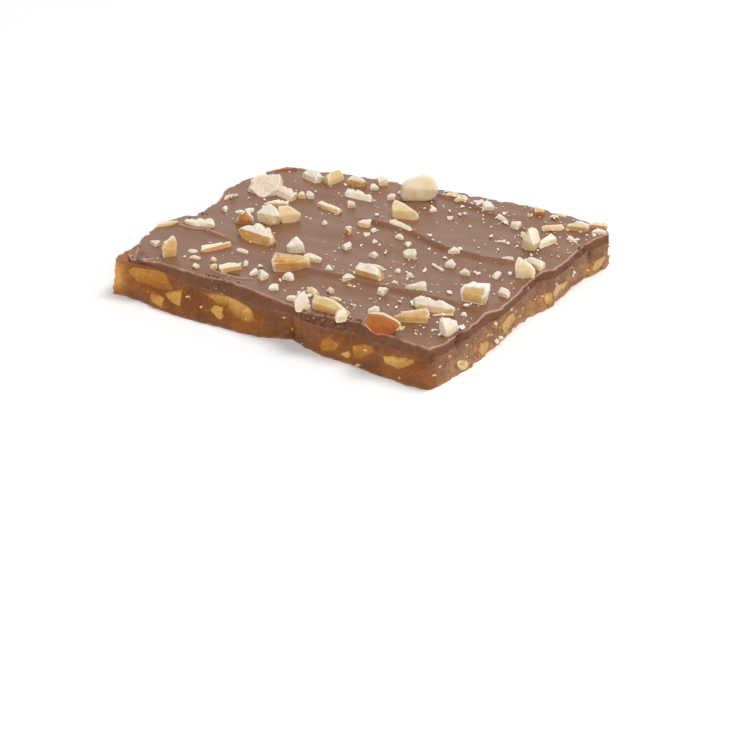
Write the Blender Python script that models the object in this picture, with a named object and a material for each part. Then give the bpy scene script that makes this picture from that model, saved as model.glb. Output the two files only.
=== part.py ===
"""Almond butter crunch toffee: one broken shard.

A slab of amber butter toffee full of almond pieces, spread on top with milk
chocolate and strewn with chopped roasted almonds. Its sides are breaks. The
two layers are two nodes that run through the whole shard: "toffee", with the
almonds that its sides lay bare, and "chocolate", with the almonds strewn on it.

Metres, +Z up. The shard lies on z = 0 with the origin under the middle of its
bounding box. Its long, slightly curved front break runs along X.
"""
import math
import random

import bmesh
import bpy
from mathutils import Matrix, Vector, noise

MM = 0.001

# ---- driving sizes, in millimetres ----

SLAB_TOP = 8.45          # mean height of the chocolate's face
TOFFEE_TOP = 6.25        # mean height of the toffee under the chocolate
LAYER_GAP = 0.3          # left between the two solids
THIN_COAT_RISE = 1.5     # how much higher the toffee stands at the bare tip
THIN_COAT_REACH = 11.0   # how far from the tip that lasts

TOP_WAVE = 0.22          # slow swell of the chocolate's face
TOP_WAVE_PLACE = 9.0     # where in the noise it is read
INTERFACE_WAVE = 0.35    # swell of the line between the layers
INTERFACE_WAVE_PLACE = 4.0
WAVE_LENGTH = 17.0

STATION_STEP = 2.9       # between points round the break
FINE_STATION_STEP = 0.5  # the same where almonds are fitted to it
BREAK_LEVELS = (-1.0, 0.0, 1.3, 2.8, 4.3, 5.6, 6.9, 8.2, 10.4)
FOOT_START = -0.15       # the share of the way down where the break starts to flare
FOOT_END = 0.95          # and where it has flared in full
BREAK_CRAGS = 0.42       # how deep the break's hollows are
BREAK_CRAG_SIZE = 5.5
CRAG_FLATTENING = 1.6    # hollows are this much wider than high
SMALL_CRAGS = 0.6        # depth of the smaller hollows, as a share
SMALL_CRAG_RATE = 2.3    # how much smaller they are
RIM_JAGS = 0.30          # how far the rim strays from its outline
RIM_JAG_SIZE = 2.1
RIM_JAG_PLACE = 31.0

COARSE_CELL = 4.2        # grid of the toffee's upper face
FINE_CELL = 3.3          # grid of the chocolate's face
SHEET_HALF = (48.0, 44.0)  # half the size of a layer before its breaks are cut

PIECE_SINK = 0.5         # how deep a strewn almond piece sits in the chocolate
PIECE_FOOT = 0.86        # how wide it is down there, as a share of its face
PIECE_BACK = 0.80        # how wide its back is
PIECE_KNEE = 0.38        # how far up its broad face the flatter cut starts, as a share
STEEPER = 26.0           # how much steeper the face is below that, in degrees
FLATTER = 10.0           # and how much flatter it is above
CHOP_WANDER = 0.10       # how far the chopping moves a corner
SIDE_PIECE_DEPTH = 3.4   # how deep an almond in the toffee's side reaches
SIDE_PIECE_PROUD = 0.45  # how far it stands out of the break
SIDE_PIECE_FLOOR = 0.3   # lowest that one comes
SIDE_PIECE_CEILING = 0.5  # how far under the toffee's upper face it stays

FLAT_ENOUGH = math.radians(1.0)  # faces that lie this close to one plane are joined

# The rim, anticlockwise from the bare left tip: x, y, how far the toffee's
# foot stands out below it, and how far the chocolate stays back from it.
RIM = (
    (-38.4, -37.2, 0.4, 3.4), (-34.5, -36.9, 1.0, 0.8), (-29.1, -34.4, 3.8, 0.1),
    (-22.1, -34.8, 4.2, 0.0), (-15.1, -34.5, 4.3, 0.0), (-11.7, -33.5, 5.0, 0.0),
    (-6.1, -34.3, 4.1, 0.0), (0.4, -35.1, 2.4, 0.0), (6.3, -35.5, -1.2, 0.0),
    (11.3, -37.1, -1.0, 0.0), (16.9, -36.0, 1.2, 0.0), (23.1, -34.7, 2.4, 0.0),
    (31.7, -36.1, 2.1, 0.0), (39.5, -36.3, 2.0, 0.0), (42.5, -36.7, 1.2, 0.0),
    (43.5, -32.7, 0.4, 0.0), (43.4, -24.2, 0.3, 0.0), (42.2, -17.8, 0.7, 0.0),
    (42.9, -11.7, -1.0, 0.0), (40.3, 2.6, -1.0, 0.0), (39.2, 9.0, 1.2, 0.2),
    (40.7, 12.2, -0.8, 0.0), (39.1, 22.8, -1.2, 0.1), (38.6, 31.6, -0.6, 0.0),
    (39.0, 35.2, -0.8, 0.0), (37.1, 37.7, 0.6, 0.0), (26.9, 38.8, 0.6, 0.0),
    (17.0, 37.6, 1.4, 0.0), (3.9, 35.4, 3.0, 0.0), (-5.1, 34.3, 2.2, 0.0),
    (-15.6, 32.9, 1.2, 0.0), (-26.1, 30.1, 2.0, 0.0), (-38.3, 27.1, 1.0, 0.0),
    (-41.4, 25.8, 0.6, 0.0), (-43.4, 17.8, 0.3, 0.0), (-43.6, 7.3, 0.2, 0.0),
    (-40.4, 0.0, 2.0, 0.0), (-39.1, -7.2, 2.4, 0.0), (-41.8, -14.7, 1.0, 0.1),
    (-42.0, -19.7, 0.6, 0.4), (-41.1, -26.7, 0.5, 1.0),
)
BARE_TIP = Vector((-37.6, -36.2))

# Spatula ridges in the chocolate: height, then the crest's points.
RIDGES = (
    (0.45, ((-42.1, -16.4), (-34.1, -14.4), (-23.1, -16.4))),
    (0.60, ((-8.1, 10.4), (4.9, 9.8), (15.9, 6.7), (25.9, 7.0), (32.9, 9.4))),
    (0.50, ((-4.1, -19.4), (7.9, -18.3), (21.9, -17.3), (33.9, -15.5), (41.9, -16.8))),
    (0.40, ((-5.1, 31.8), (3.9, 30.7), (12.9, 28.6), (25.9, 24.8))),
)
RIDGE_FRONT = 1.3        # run of a ridge's steep side, towards -Y
RIDGE_BACK = 6.5         # run of its gentle side

RIDGE_FADE = 4.0         # how far past its ends a ridge dies away

# The broad cut face of a chopped almond: corners from its lower left one,
# anticlockwise, as shares of its own length and of its own reach.
OUTLINES = {
    "kite": ((-0.48, 0), (0.48, 0), (0.50, 0.55), (0.40, 0.92), (0.0, 1.0), (-0.50, 0.65)),
    "block": ((-0.46, 0), (0.40, 0), (0.50, 0.65), (0.46, 1.0), (-0.44, 0.88), (-0.50, 0.5)),
    "tooth": ((-0.45, 0), (0.48, 0), (0.42, 0.55), (0.05, 1.0), (-0.22, 0.78), (-0.50, 0.42)),
    "spire": ((-0.48, 0), (0.38, 0), (0.50, 0.5), (0.20, 0.85), (-0.18, 1.0), (-0.40, 0.55)),
    "chunk": ((-0.32, 0), (0.38, 0), (0.50, 0.33), (0.22, 0.84), (-0.08, 1.0), (-0.50, 0.45)),
    "leaf": ((-0.25, 0), (0.32, 0), (0.50, 0.5), (0.45, 0.95), (0.0, 0.92), (-0.50, 0.45)),
    "plank": ((-0.38, 0), (0.43, 0), (0.50, 0.45), (0.25, 0.72), (-0.40, 1.0), (-0.50, 0.55)),
    "wedge": ((-0.30, 0), (0.50, 0), (0.48, 1.0), (0.05, 0.78), (-0.50, 0.2)),
    "dome": ((-0.33, 0), (0.30, 0), (0.50, 0.36), (0.42, 0.85), (0.05, 1.0), (-0.35, 0.72), (-0.5, 0.25)),
    "stump": ((-0.5, 0), (0.12, 0), (0.5, 0.3), (0.5, 0.6), (-0.15, 1.0), (-0.5, 0.88)),
    "husk": ((-0.27, 0), (0.08, 0), (0.50, 0.6), (0.2, 0.9), (-0.30, 1.0), (-0.50, 0.5)),
    "lens": ((-0.14, 0), (0.04, 0), (0.50, 0.52), (0.30, 0.72), (-0.05, 0.96), (-0.44, 1.0), (-0.50, 0.75),
             (-0.40, 0.22)),
    "slab": ((0.02, 0), (0.14, 0), (0.50, 0.82), (0.30, 1.0), (-0.24, 0.86), (-0.50, 0.36)),
}
# Outlines whose foot and knee are their own, as the same shares.
OWN_FOOT_AND_KNEE = {"lens": (0.30, 0.38), "slab": (0.86, 0.0)}

# The almond pieces strewn on the chocolate: outline (mirrored where the
# length is negative), x and y of the foot of the broad face, its length and
# reach, the piece's thickness, its turn, and how far it leans back, in degrees.
STREWN = (
    ("slab", -35.0, 7.5, 9.3, 6.9, 2.4, 10, 50), ("kite", -31.0, 10.0, 8.0, 3.1, 1.6, -15, 60),
    ("tooth", -39.5, 23.5, 6.7, 1.0, 1.4, 55, 55), ("dome", -32.0, 21.5, 6.6, 3.1, 2.0, -15, 45),
    ("dome", -26.0, 24.5, 6.4, 3.0, 2.2, 85, 35), ("husk", -21.5, 25.0, 5.1, 2.6, 1.8, 5, 40),
    ("plank", -16.5, 19.0, 8.3, 2.9, 1.5, 5, 65), ("block", -18.0, 10.0, -7.9, 1.9, 2.0, -10, 55),
    ("spire", -24.0, -4.0, 6.0, 4.6, 2.4, 0, 35), ("leaf", -20.0, -0.5, -5.0, 4.2, 2.0, 50, 35),
    ("wedge", -28.0, 4.5, 6.4, 2.7, 1.6, 30, 60), ("chunk", -27.5, -7.5, -4.7, 3.1, 2.2, 20, 20),
    ("chunk", -19.5, -14.0, 10.4, 4.9, 3.0, 0, 50), ("tooth", -8.5, -13.5, 4.1, 3.8, 2.0, 35, 25),
    ("plank", -3.5, -21.5, 9.0, 4.3, 2.8, 45, 30), ("plank", -2.5, -16.0, 4.4, 2.4, 1.6, 15, 45),
    ("spire", -5.0, -28.5, 2.2, 2.3, 1.4, 80, 20), ("chunk", -1.0, -26.0, 2.7, 1.9, 1.6, 15, 25),
    ("husk", 7.5, -29.5, 3.2, 1.9, 1.4, -5, 45), ("kite", 6.0, -34.0, 2.4, 1.6, 1.4, 10, 40),
    ("spire", 11.0, -36.5, -3.5, 3.7, 2.2, 45, 10), ("leaf", 16.0, -34.5, -10.2, 3.2, 2.2, 0, 30),
    ("dome", 20.5, -36.0, 2.7, 2.2, 1.5, 60, 20), ("dome", 13.0, -28.5, 3.0, 1.2, 0.6, 5, 70),
    ("husk", -34.0, -14.5, -7.4, 2.1, 1.0, 25, 55), ("tooth", -40.0, -18.0, -5.5, 1.3, 0.8, 60, 60),
    ("plank", -28.5, -31.0, -3.6, 4.2, 2.2, 55, 15), ("plank", -23.0, -22.0, 8.1, 1.9, 1.4, 70, 50),
    ("leaf", -26.5, -26.5, 2.5, 1.3, 0.7, 0, 70), ("tooth", -23.5, -29.0, -3.0, 1.0, 0.8, 20, 30),
    ("dome", -17.0, -30.5, 1.8, 1.2, 1.0, 55, 30), ("wedge", -36.0, -28.0, 2.9, 1.8, 0.8, -25, 45),
    ("kite", -13.5, -29.0, -5.5, 2.0, 1.5, 65, 40), ("dome", -4.5, 25.5, 8.6, 6.2, 4.0, 35, 30),
    ("wedge", -0.5, 15.0, -7.0, 4.7, 2.2, 25, 45), ("plank", 1.5, 10.0, 7.1, 1.7, 1.2, -5, 60),
    ("tooth", 4.5, 5.5, -2.3, 1.5, 1.0, 5, 35), ("husk", 12.5, -1.5, -3.0, 2.2, 1.8, 20, 25),
    ("tooth", 19.0, 5.5, -2.8, 1.6, 1.4, 30, 35), ("tooth", 22.5, -1.0, -2.4, 1.8, 1.6, 15, 20),
    ("block", 20.5, -3.0, -4.2, 0.8, 1.0, -20, 60), ("dome", 12.0, -16.0, -7.6, 3.3, 2.4, 0, 35),
    ("wedge", 11.5, -11.0, -4.1, 1.9, 1.2, 45, 50), ("tooth", 9.5, -19.0, -3.0, 1.7, 1.5, 45, 30),
    ("block", 19.0, -21.0, 1.9, 1.9, 1.3, -5, 30), ("wedge", 24.0, -15.5, 5.4, 2.3, 1.2, 25, 30),
    ("husk", 32.5, -22.0, 10.1, 3.2, 2.2, 10, 45), ("plank", 32.5, -28.5, -7.4, 3.0, 2.2, 30, 25),
    ("kite", 24.0, -30.0, 2.3, 1.9, 1.4, 20, 20), ("lens", 31.0, -36.5, 8.4, 4.2, 2.4, 25, 15),
    ("kite", 35.5, -22.0, 4.5, 0.7, 0.6, 35, 70), ("stump", 42.0, -28.0, 3.6, 3.6, 1.8, 85, 15),
    ("block", 37.0, -13.5, 5.6, 4.0, 3.0, 10, 10), ("dome", 40.0, -7.0, -2.9, 2.2, 1.0, -5, 40),
    ("block", 33.0, 0.0, -1.6, 2.2, 0.8, -5, 65), ("plank", 38.0, 4.0, 4.3, 4.3, 3.0, 30, 20),
    ("husk", 36.0, 9.5, -5.4, 2.3, 2.0, -15, 35), ("spire", 30.0, 16.5, 4.1, 4.8, 2.6, -5, 20),
    ("plank", 32.5, 21.5, -6.7, 2.4, 1.4, 85, 45), ("plank", 28.5, 29.0, -5.4, 1.9, 1.0, 35, 60),
    ("dome", 33.0, 32.0, 5.2, 2.7, 2.0, 15, 35), ("kite", 35.5, 36.0, 4.8, 1.7, 1.5, 25, 40),
    ("tooth", 37.5, 33.5, -3.3, 1.4, 1.0, 35, 30), ("plank", 21.5, 34.5, 2.5, 2.2, 1.8, 35, 30),
    ("wedge", 35.0, 26.5, -3.9, 1.2, 0.9, -15, 55), ("plank", 16.5, 27.0, 4.7, 1.4, 1.0, -20, 55),
    ("plank", 21.0, 25.0, -2.7, 2.3, 1.0, -10, 50), ("spire", 11.5, 29.5, 3.0, 2.9, 1.6, 40, 35),
    ("plank", 3.5, 30.5, -3.2, 1.6, 0.8, 25, 60), ("chunk", 0.0, 32.0, -3.6, 1.1, 1.0, 40, 55),
    ("dome", -16.5, 25.5, -2.2, 1.7, 1.0, 35, 30), ("stump", -16.5, 29.0, 2.4, 2.5, 1.2, 50, 35),
    ("kite", -10.0, 23.0, 1.9, 1.5, 1.2, 35, 25), ("spire", -14.5, 14.5, 2.1, 1.7, 1.2, 60, 20),
    ("spire", -26.5, 12.0, -1.9, 1.8, 1.2, 30, 20), ("kite", -25.0, 13.0, -1.7, 1.9, 1.2, 35, 20),
    ("tooth", -39.5, 3.0, -3.6, 1.0, 0.8, 80, 50), ("dome", -18.0, -20.0, -3.6, 1.0, 0.8, 0, 55),
    ("dome", 0.0, -32.0, 2.4, 1.6, 1.2, 35, 35), ("tooth", -6.0, 1.0, -2.0, 2.2, 1.0, -10, 30),
    ("leaf", -5.5, 6.5, 3.0, 2.1, 1.0, 15, 45), ("wedge", 23.5, 16.5, 1.9, 1.1, 0.7, 10, 60),
    ("kite", 30.5, 9.0, 2.5, 0.9, 0.8, 25, 60), ("spire", 25.5, 37.0, -2.9, 1.0, 0.9, 0, 60),
)

# Smaller chips between them, strewn by a rule.
CHIP_COUNT = 26
CHIP_SEED = 17
CHIP_LENGTH = (1.5, 2.3)
CHIP_REACH = 0.7         # as a share of its length
CHIP_THICKNESS = 0.5
CHIP_LEAN = (30.0, 65.0)
CHIP_OUTLINES = ("wedge", "spire", "tooth", "block")
CHIP_FIELD = (42.0, 37.0)
CHIP_CLEARANCE = 0.8
CHIP_EDGE_MARGIN = 2.2

# Almonds that the visible breaks lay bare: outline, x and y near the foot of
# its cut face, the height of that foot, length, reach and slant in degrees.
BARED = (
    ("husk", -28.5, -36.5, 7.5, -13.5, 4.0, 175), ("wedge", -27.0, -38.0, 3.0, -6.0, 2.5, 175),
    ("wedge", -22.5, -38.0, 4.5, -4.5, 3.0, -165), ("plank", -9.5, -38.0, 3.5, -3.5, 2.5, 130),
    ("husk", -7.5, -36.0, 6.0, 16.5, 3.0, 170), ("chunk", 18.0, -36.5, 1.5, -5.5, 3.0, 15),
    ("husk", 22.5, -37.0, 1.0, -2.5, 1.5, 15), ("stump", 26.0, -37.0, 5.0, -5.5, 3.0, -160),
    ("tooth", 35.5, -37.5, 5.0, 8.0, 2.5, -170), ("dome", 43.5, -26.5, 2.5, -4.5, 2.0, 160),
    ("tooth", 42.5, -17.5, 3.0, 5.0, 3.0, 160), ("husk", 41.0, -5.5, 4.5, -8.5, 3.5, 165),
    ("plank", 40.5, 10.0, 3.5, 3.5, 3.0, 160), ("dome", 39.5, 15.5, 3.5, 8.5, 2.0, 175),
    ("leaf", 38.0, 32.0, 1.0, 6.0, 2.5, 0),
)
BARED_SEED = 300
# The other breaks have their almonds by a rule, between these shares of the
# way round the rim.
HIDDEN_BREAKS = (0.56, 0.98)
HIDDEN_COUNT = 15
HIDDEN_SEED = 5
HIDDEN_SPACING = (0.2, 0.8)
HIDDEN_OUTLINES = ("husk", "dome", "plank", "chunk")
HIDDEN_LENGTH = (3.2, 8.0)
HIDDEN_REACH = (1.8, 3.0)
HIDDEN_HEIGHT = (0.8, 2.0)
HIDDEN_SLANT = (-14.0, 14.0)


def smoothstep(edge0, edge1, value):
    """Rise smoothly from 0 at edge0 to 1 at edge1."""
    share = min(1.0, max(0.0, (value - edge0) / (edge1 - edge0)))
    return share * share * (3.0 - 2.0 * share)


def swell(x, y, seed):
    """Slow rise and fall over the slab, from -1 to 1."""
    return noise.noise(Vector((x / WAVE_LENGTH, y / WAVE_LENGTH, seed)))


def crest_offset(points, x):
    """Y of a ridge's crest at x, on straight runs between its points."""
    for (x0, y0), (x1, y1) in zip(points, points[1:]):
        if x <= x1:
            return y0 + (y1 - y0) * max(0.0, x - x0) / (x1 - x0)
    return points[-1][1]


def ridge_height(x, y):
    """Height that the spatula's ridges add at a place."""
    total = 0.0
    for height, points in RIDGES:
        start, end = points[0][0], points[-1][0]
        rise = smoothstep(start - RIDGE_FADE, start + RIDGE_FADE, x)
        fade = rise * smoothstep(end + RIDGE_FADE, end - RIDGE_FADE, x)
        run = y - crest_offset(points, x)
        slope = math.exp(-run / RIDGE_BACK) if run > 0.0 else math.exp(run / RIDGE_FRONT)
        total += height * fade * slope
    return total


def toffee_face(x, y):
    """Height of the toffee's upper face."""
    tip = (Vector((x, y)) - BARE_TIP).length / THIN_COAT_REACH
    wave = INTERFACE_WAVE * swell(x, y, INTERFACE_WAVE_PLACE)
    return TOFFEE_TOP + wave + THIN_COAT_RISE * math.exp(-tip * tip)


def chocolate_face(x, y):
    """Height of the chocolate's upper face."""
    return SLAB_TOP + TOP_WAVE * swell(x, y, TOP_WAVE_PLACE) + ridge_height(x, y)


def rim_stations(step):
    """Stations round the rim: place, outward normal, foot and set-back."""
    rows = [Vector(row) for row in RIM]
    points = []
    for row, following in zip(rows, rows[1:] + rows[:1]):
        parts = max(1, round((following.xy - row.xy).length / step))
        points += [row.lerp(following, part / parts) for part in range(parts)]
    stations = []
    for number, point in enumerate(points):
        before, after = points[number - 1].xy, points[(number + 1) % len(points)].xy
        tangent = (after - before).normalized()
        normal = Vector((tangent.y, -tangent.x))
        jag_place = Vector((point.x / RIM_JAG_SIZE, point.y / RIM_JAG_SIZE, RIM_JAG_PLACE))
        jag = RIM_JAGS * noise.noise(jag_place)
        stations.append((point.xy + normal * jag, normal, point.z, point.w))
    return stations


def break_point(station, z, set_back):
    """A point of the broken side at a height, in from the rim by set_back."""
    place, normal, foot, _ = station
    share = 1.0 - z / SLAB_TOP
    flare = foot * smoothstep(FOOT_START, FOOT_END, share)
    crag_place = Vector((place.x, place.y, z * CRAG_FLATTENING)) / BREAK_CRAG_SIZE
    small = abs(noise.noise(crag_place * SMALL_CRAG_RATE))
    crag = BREAK_CRAGS * (noise.noise(crag_place) - SMALL_CRAGS * small)
    return place + normal * (flare + crag - set_back)


def new_object(name, mesh_maker):
    """Link an object whose mesh the given function makes, scaled to metres."""
    bm = bmesh.new()
    mesh_maker(bm)
    bmesh.ops.scale(bm, vec=(MM, MM, MM), verts=bm.verts)
    bmesh.ops.recalc_face_normals(bm, faces=bm.faces)
    mesh = bpy.data.meshes.new(name)
    bm.to_mesh(mesh)
    bm.free()
    obj = bpy.data.objects.new(name, mesh)
    bpy.context.scene.collection.objects.link(obj)
    return obj


def break_outline(stations, coated):
    """Return a maker of the upright block that the breaks bound."""
    def make(bm):
        number = bm.verts.layers.int.new("station")
        ring = []
        for index, (place, _, _, _) in enumerate(stations):
            vert = bm.verts.new((place.x, place.y, BREAK_LEVELS[0]))
            vert[number] = index
            ring.append(vert)
        base = top = bm.faces.new(ring)
        for z in BREAK_LEVELS[1:]:
            raised = bmesh.ops.extrude_face_region(bm, geom=[top])
            if top is not base:
                bmesh.ops.delete(bm, geom=[top], context="FACES_ONLY")
            top = next(item for item in raised["geom"] if isinstance(item, bmesh.types.BMFace))
            for vert in top.verts:
                vert.co.z = z
        for vert in bm.verts:
            station = stations[vert[number]]
            set_back = station[3] if coated else 0.0
            vert.co.xy = break_point(station, max(0.0, vert.co.z), set_back)
    return make


def layer(lower, upper, cell):
    """Return a maker of a wide wavy layer between two height functions."""
    def make(bm):
        half_x, half_y = SHEET_HALF
        grid = bmesh.ops.create_grid(
            bm, x_segments=round(2 * half_x / cell), y_segments=round(2 * half_y / cell), size=1.0)
        bmesh.ops.scale(bm, vec=(half_x, half_y, 1.0), verts=grid["verts"])
        raised = bmesh.ops.extrude_face_region(bm, geom=bm.faces[:])
        tops = {item for item in raised["geom"] if isinstance(item, bmesh.types.BMVert)}
        for vert in bm.verts:
            height = upper if vert in tops else lower
            vert.co.z = height(vert.co.x, vert.co.y)
        bmesh.ops.triangulate(bm, faces=bm.faces)
    return make


def apply_boolean(obj, operation, operand=None, collection=None):
    """Combine an object with another, or with a whole collection, for good."""
    modifier = obj.modifiers.new("join", "BOOLEAN")
    modifier.operation = operation
    modifier.solver = "MANIFOLD" if collection else "EXACT"
    if collection:
        modifier.operand_type = "COLLECTION"
        modifier.collection = collection
    else:
        modifier.object = operand
    depsgraph = bpy.context.evaluated_depsgraph_get()
    joined = bpy.data.meshes.new_from_object(obj.evaluated_get(depsgraph), depsgraph=depsgraph)
    obj.modifiers.clear()
    spent = obj.data
    obj.data = joined
    obj.data.name = obj.name
    bpy.data.meshes.remove(spent)


def remove(obj):
    """Delete an object and its mesh."""
    mesh = obj.data
    bpy.data.objects.remove(obj)
    bpy.data.meshes.remove(mesh)


def broken_layer(name, stations, coated, lower, upper, cell):
    """One layer of the shard, with the breaks as its sides."""
    body = new_object(name, layer(lower, upper, cell))
    block = new_object(name + "_block", break_outline(stations, coated))
    apply_boolean(body, "INTERSECT", operand=block)
    remove(block)
    return body


def almond_piece(outline, length, reach, thick, lean, sink, seed):
    """Return a maker of one chopped piece.

    Its broad face looks towards -Y and leans back, steeper below its knee than
    above. Behind it comes a smaller back, and under z = 0 a foot.
    """
    foot_share, knee_share = OWN_FOOT_AND_KNEE.get(outline, (PIECE_FOOT, PIECE_KNEE))
    lean = math.radians(lean)
    lower = max(0.0, lean - math.radians(STEEPER))
    upper = lean + math.radians(FLATTER) * (lean > 0.0)
    knee = knee_share * reach
    inward = Vector((0.0, math.cos(lean), -math.sin(lean)))

    def face_point(along, up):
        below, above = min(up, knee), max(0.0, up - knee)
        return Vector((
            along,
            below * math.sin(lower) + above * math.sin(upper),
            below * math.cos(lower) + above * math.cos(upper)))

    def knee_points(corners):
        for (a0, r0), (a1, r1) in zip(corners, corners[1:] + corners[:1]):
            if (r0 - knee_share) * (r1 - knee_share) < 0.0:
                yield a0 + (a1 - a0) * (knee_share - r0) / (r1 - r0), knee_share

    def make(bm):
        draw = random.Random(seed)
        corners = OUTLINES[outline]
        if lean > 0.0:
            corners = corners + tuple(knee_points(corners))
        for along_share, up_share in corners:
            front = face_point(length * along_share, reach * up_share)
            front += Vector([draw.uniform(-CHOP_WANDER, CHOP_WANDER) for _ in range(3)])
            back = front + inward * thick
            back.x *= PIECE_BACK
            back.z = max(back.z, -sink)
            bm.verts.new(front)
            bm.verts.new(back)
            if sink:
                bm.verts.new((front.x * foot_share, front.y * foot_share, -sink))
        hull = bmesh.ops.convex_hull(bm, input=bm.verts[:])
        inner = [item for item in hull["geom_interior"] if isinstance(item, bmesh.types.BMVert)]
        bmesh.ops.delete(bm, geom=inner, context="VERTS")
    return make


def move_to(obj, collection):
    """Move an object out of the scene's collection into another."""
    bpy.context.scene.collection.objects.unlink(obj)
    collection.objects.link(obj)


def strewn_chips(stations):
    """Rows of the small chips, clear of the larger pieces and the rim."""
    draw = random.Random(CHIP_SEED)
    taken = [(x, y, 0.5 * abs(length)) for _, x, y, length, _, _, _, _ in STREWN]
    chips = []
    while len(chips) < CHIP_COUNT:
        place = Vector([draw.uniform(-half, half) for half in CHIP_FIELD])
        length = draw.uniform(*CHIP_LENGTH)
        nearest = min(stations, key=lambda station: (station[0] - place).length)
        inside = (nearest[0] - place).dot(nearest[1])
        if inside < CHIP_EDGE_MARGIN + nearest[3]:
            continue
        room = 0.5 * length + CHIP_CLEARANCE
        if any(math.hypot(place.x - x, place.y - y) < reach + room for x, y, reach in taken):
            continue
        taken.append((place.x, place.y, 0.5 * length))
        chips.append((draw.choice(CHIP_OUTLINES), place.x, place.y, length, length * CHIP_REACH,
                      length * CHIP_THICKNESS, draw.uniform(0.0, 360.0), draw.uniform(*CHIP_LEAN)))
    return chips


def strew(collection, pieces):
    """Lay almond pieces on the chocolate's face."""
    for number, (outline, x, y, length, reach, thick, turn, lean) in enumerate(pieces):
        maker = almond_piece(outline, length, reach, thick, lean, PIECE_SINK, number)
        piece = new_object("strewn", maker)
        place = Vector((x, y, chocolate_face(x, y))) * MM
        piece.matrix_world = Matrix.Translation(place) @ Matrix.Rotation(math.radians(turn), 4, "Z")
        move_to(piece, collection)


def hidden_almonds(stations):
    """Rows of the almonds in the breaks that face away, spread by a rule."""
    draw = random.Random(HIDDEN_SEED)
    first, last = HIDDEN_BREAKS
    rows = []
    for number in range(HIDDEN_COUNT):
        share = first + (last - first) * (number + draw.uniform(*HIDDEN_SPACING)) / HIDDEN_COUNT
        place = stations[int(share * len(stations))][0]
        rows.append((draw.choice(HIDDEN_OUTLINES), place.x, place.y, draw.uniform(*HIDDEN_HEIGHT),
                     draw.uniform(*HIDDEN_LENGTH), draw.uniform(*HIDDEN_REACH), draw.uniform(*HIDDEN_SLANT)))
    return rows


def bared_almond(stations, row, seed):
    """Return a maker of one almond in a break, whose cut face follows the break."""
    outline, x, y, z, length, reach, slant = row
    cut_shape = almond_piece(outline, length, reach, SIDE_PIECE_DEPTH, 0.0, 0.0, seed)
    foot = Vector((x, y, z))

    def nearest_station(place):
        return min(stations, key=lambda station: (station[0] - place.xy).length)

    def make(bm):
        cut_shape(bm)
        out = nearest_station(foot)[1]
        along = Vector((-out.y, out.x, 0.0))
        roll = Matrix.Rotation(-math.radians(slant), 3, "Y")
        for vert in bm.verts:
            depth = vert.co.y
            flat = roll @ Vector((vert.co.x, 0.0, vert.co.z))
            place = foot + along * flat.x
            place.z = min(max(z + flat.z, SIDE_PIECE_FLOOR), toffee_face(x, y) - SIDE_PIECE_CEILING)
            station = nearest_station(place)
            surface = break_point(station, place.z, 0.0)
            sideways = Vector((-station[1].y, station[1].x))
            surface += sideways * (place.xy - surface).dot(sideways)
            vert.co = (surface + station[1] * (SIDE_PIECE_PROUD - depth)).to_3d()
            vert.co.z = place.z
    return make


def lay_bare(collection, stations):
    """Set almond pieces in the toffee's sides, standing a little proud."""
    fine_stations = rim_stations(FINE_STATION_STEP)
    for number, row in enumerate(BARED + tuple(hidden_almonds(stations))):
        piece = new_object("bared", bared_almond(fine_stations, row, BARED_SEED + number))
        move_to(piece, collection)


def fuse(body, fill):
    """Join a layer and the pieces that fill() puts in a collection."""
    collection = bpy.data.collections.new(body.name + "_pieces")
    bpy.context.scene.collection.children.link(collection)
    fill(collection)
    apply_boolean(body, "UNION", collection=collection)
    for piece in list(collection.objects):
        remove(piece)
    bpy.data.collections.remove(collection)


def finish(obj, colour, roughness, coat):
    """Clean the solid and give it its material."""
    bm = bmesh.new()
    bm.from_mesh(obj.data)
    bmesh.ops.dissolve_limit(bm, angle_limit=FLAT_ENOUGH, verts=bm.verts, edges=bm.edges)
    bmesh.ops.triangulate(bm, faces=bm.faces)
    bm.to_mesh(obj.data)
    bm.free()
    material = bpy.data.materials.new(obj.name)
    material.use_nodes = True
    shader = material.node_tree.nodes["Principled BSDF"]
    shader.inputs["Base Color"].default_value = (*colour, 1.0)
    shader.inputs["Roughness"].default_value = roughness
    shader.inputs["Metallic"].default_value = 0.0
    shader.inputs["Coat Weight"].default_value = coat
    obj.data.materials.clear()
    obj.data.materials.append(material)


def build_toffee(stations):
    """The amber slab, flat underneath, with almonds laid bare in its sides."""
    toffee = broken_layer("toffee", stations, False, lambda x, y: 0.0, toffee_face, COARSE_CELL)
    fuse(toffee, lambda pieces: lay_bare(pieces, stations))
    finish(toffee, (0.26, 0.10, 0.03), 0.35, 0.3)


def build_chocolate(stations):
    """The milk chocolate coat with the chopped almonds strewn on it."""
    def underside(x, y):
        return toffee_face(x, y) + LAYER_GAP

    chocolate = broken_layer("chocolate", stations, True, underside, chocolate_face, FINE_CELL)
    fuse(chocolate, lambda pieces: strew(pieces, list(STREWN) + strewn_chips(stations)))
    finish(chocolate, (0.29, 0.17, 0.115), 0.45, 0.0)


for stale in list(bpy.data.objects):
    bpy.data.objects.remove(stale)
rim = rim_stations(STATION_STEP)
build_toffee(rim)
build_chocolate(rim)
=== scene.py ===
"""Looks of one broken shard of almond butter crunch toffee.

An amber slab of butter toffee full of almonds, with a milk chocolate coat and
chopped roasted almonds strewn on it. It lies on a pale floor in soft light.
Lengths are in millimetres until a mesh is finished, which is in metres.
"""
import math
import random

import bmesh
import bpy
from mathutils import Matrix, Vector, noise
from mathutils.bvhtree import BVHTree
from mathutils.geometry import intersect_point_line
from mathutils.kdtree import KDTree


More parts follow.
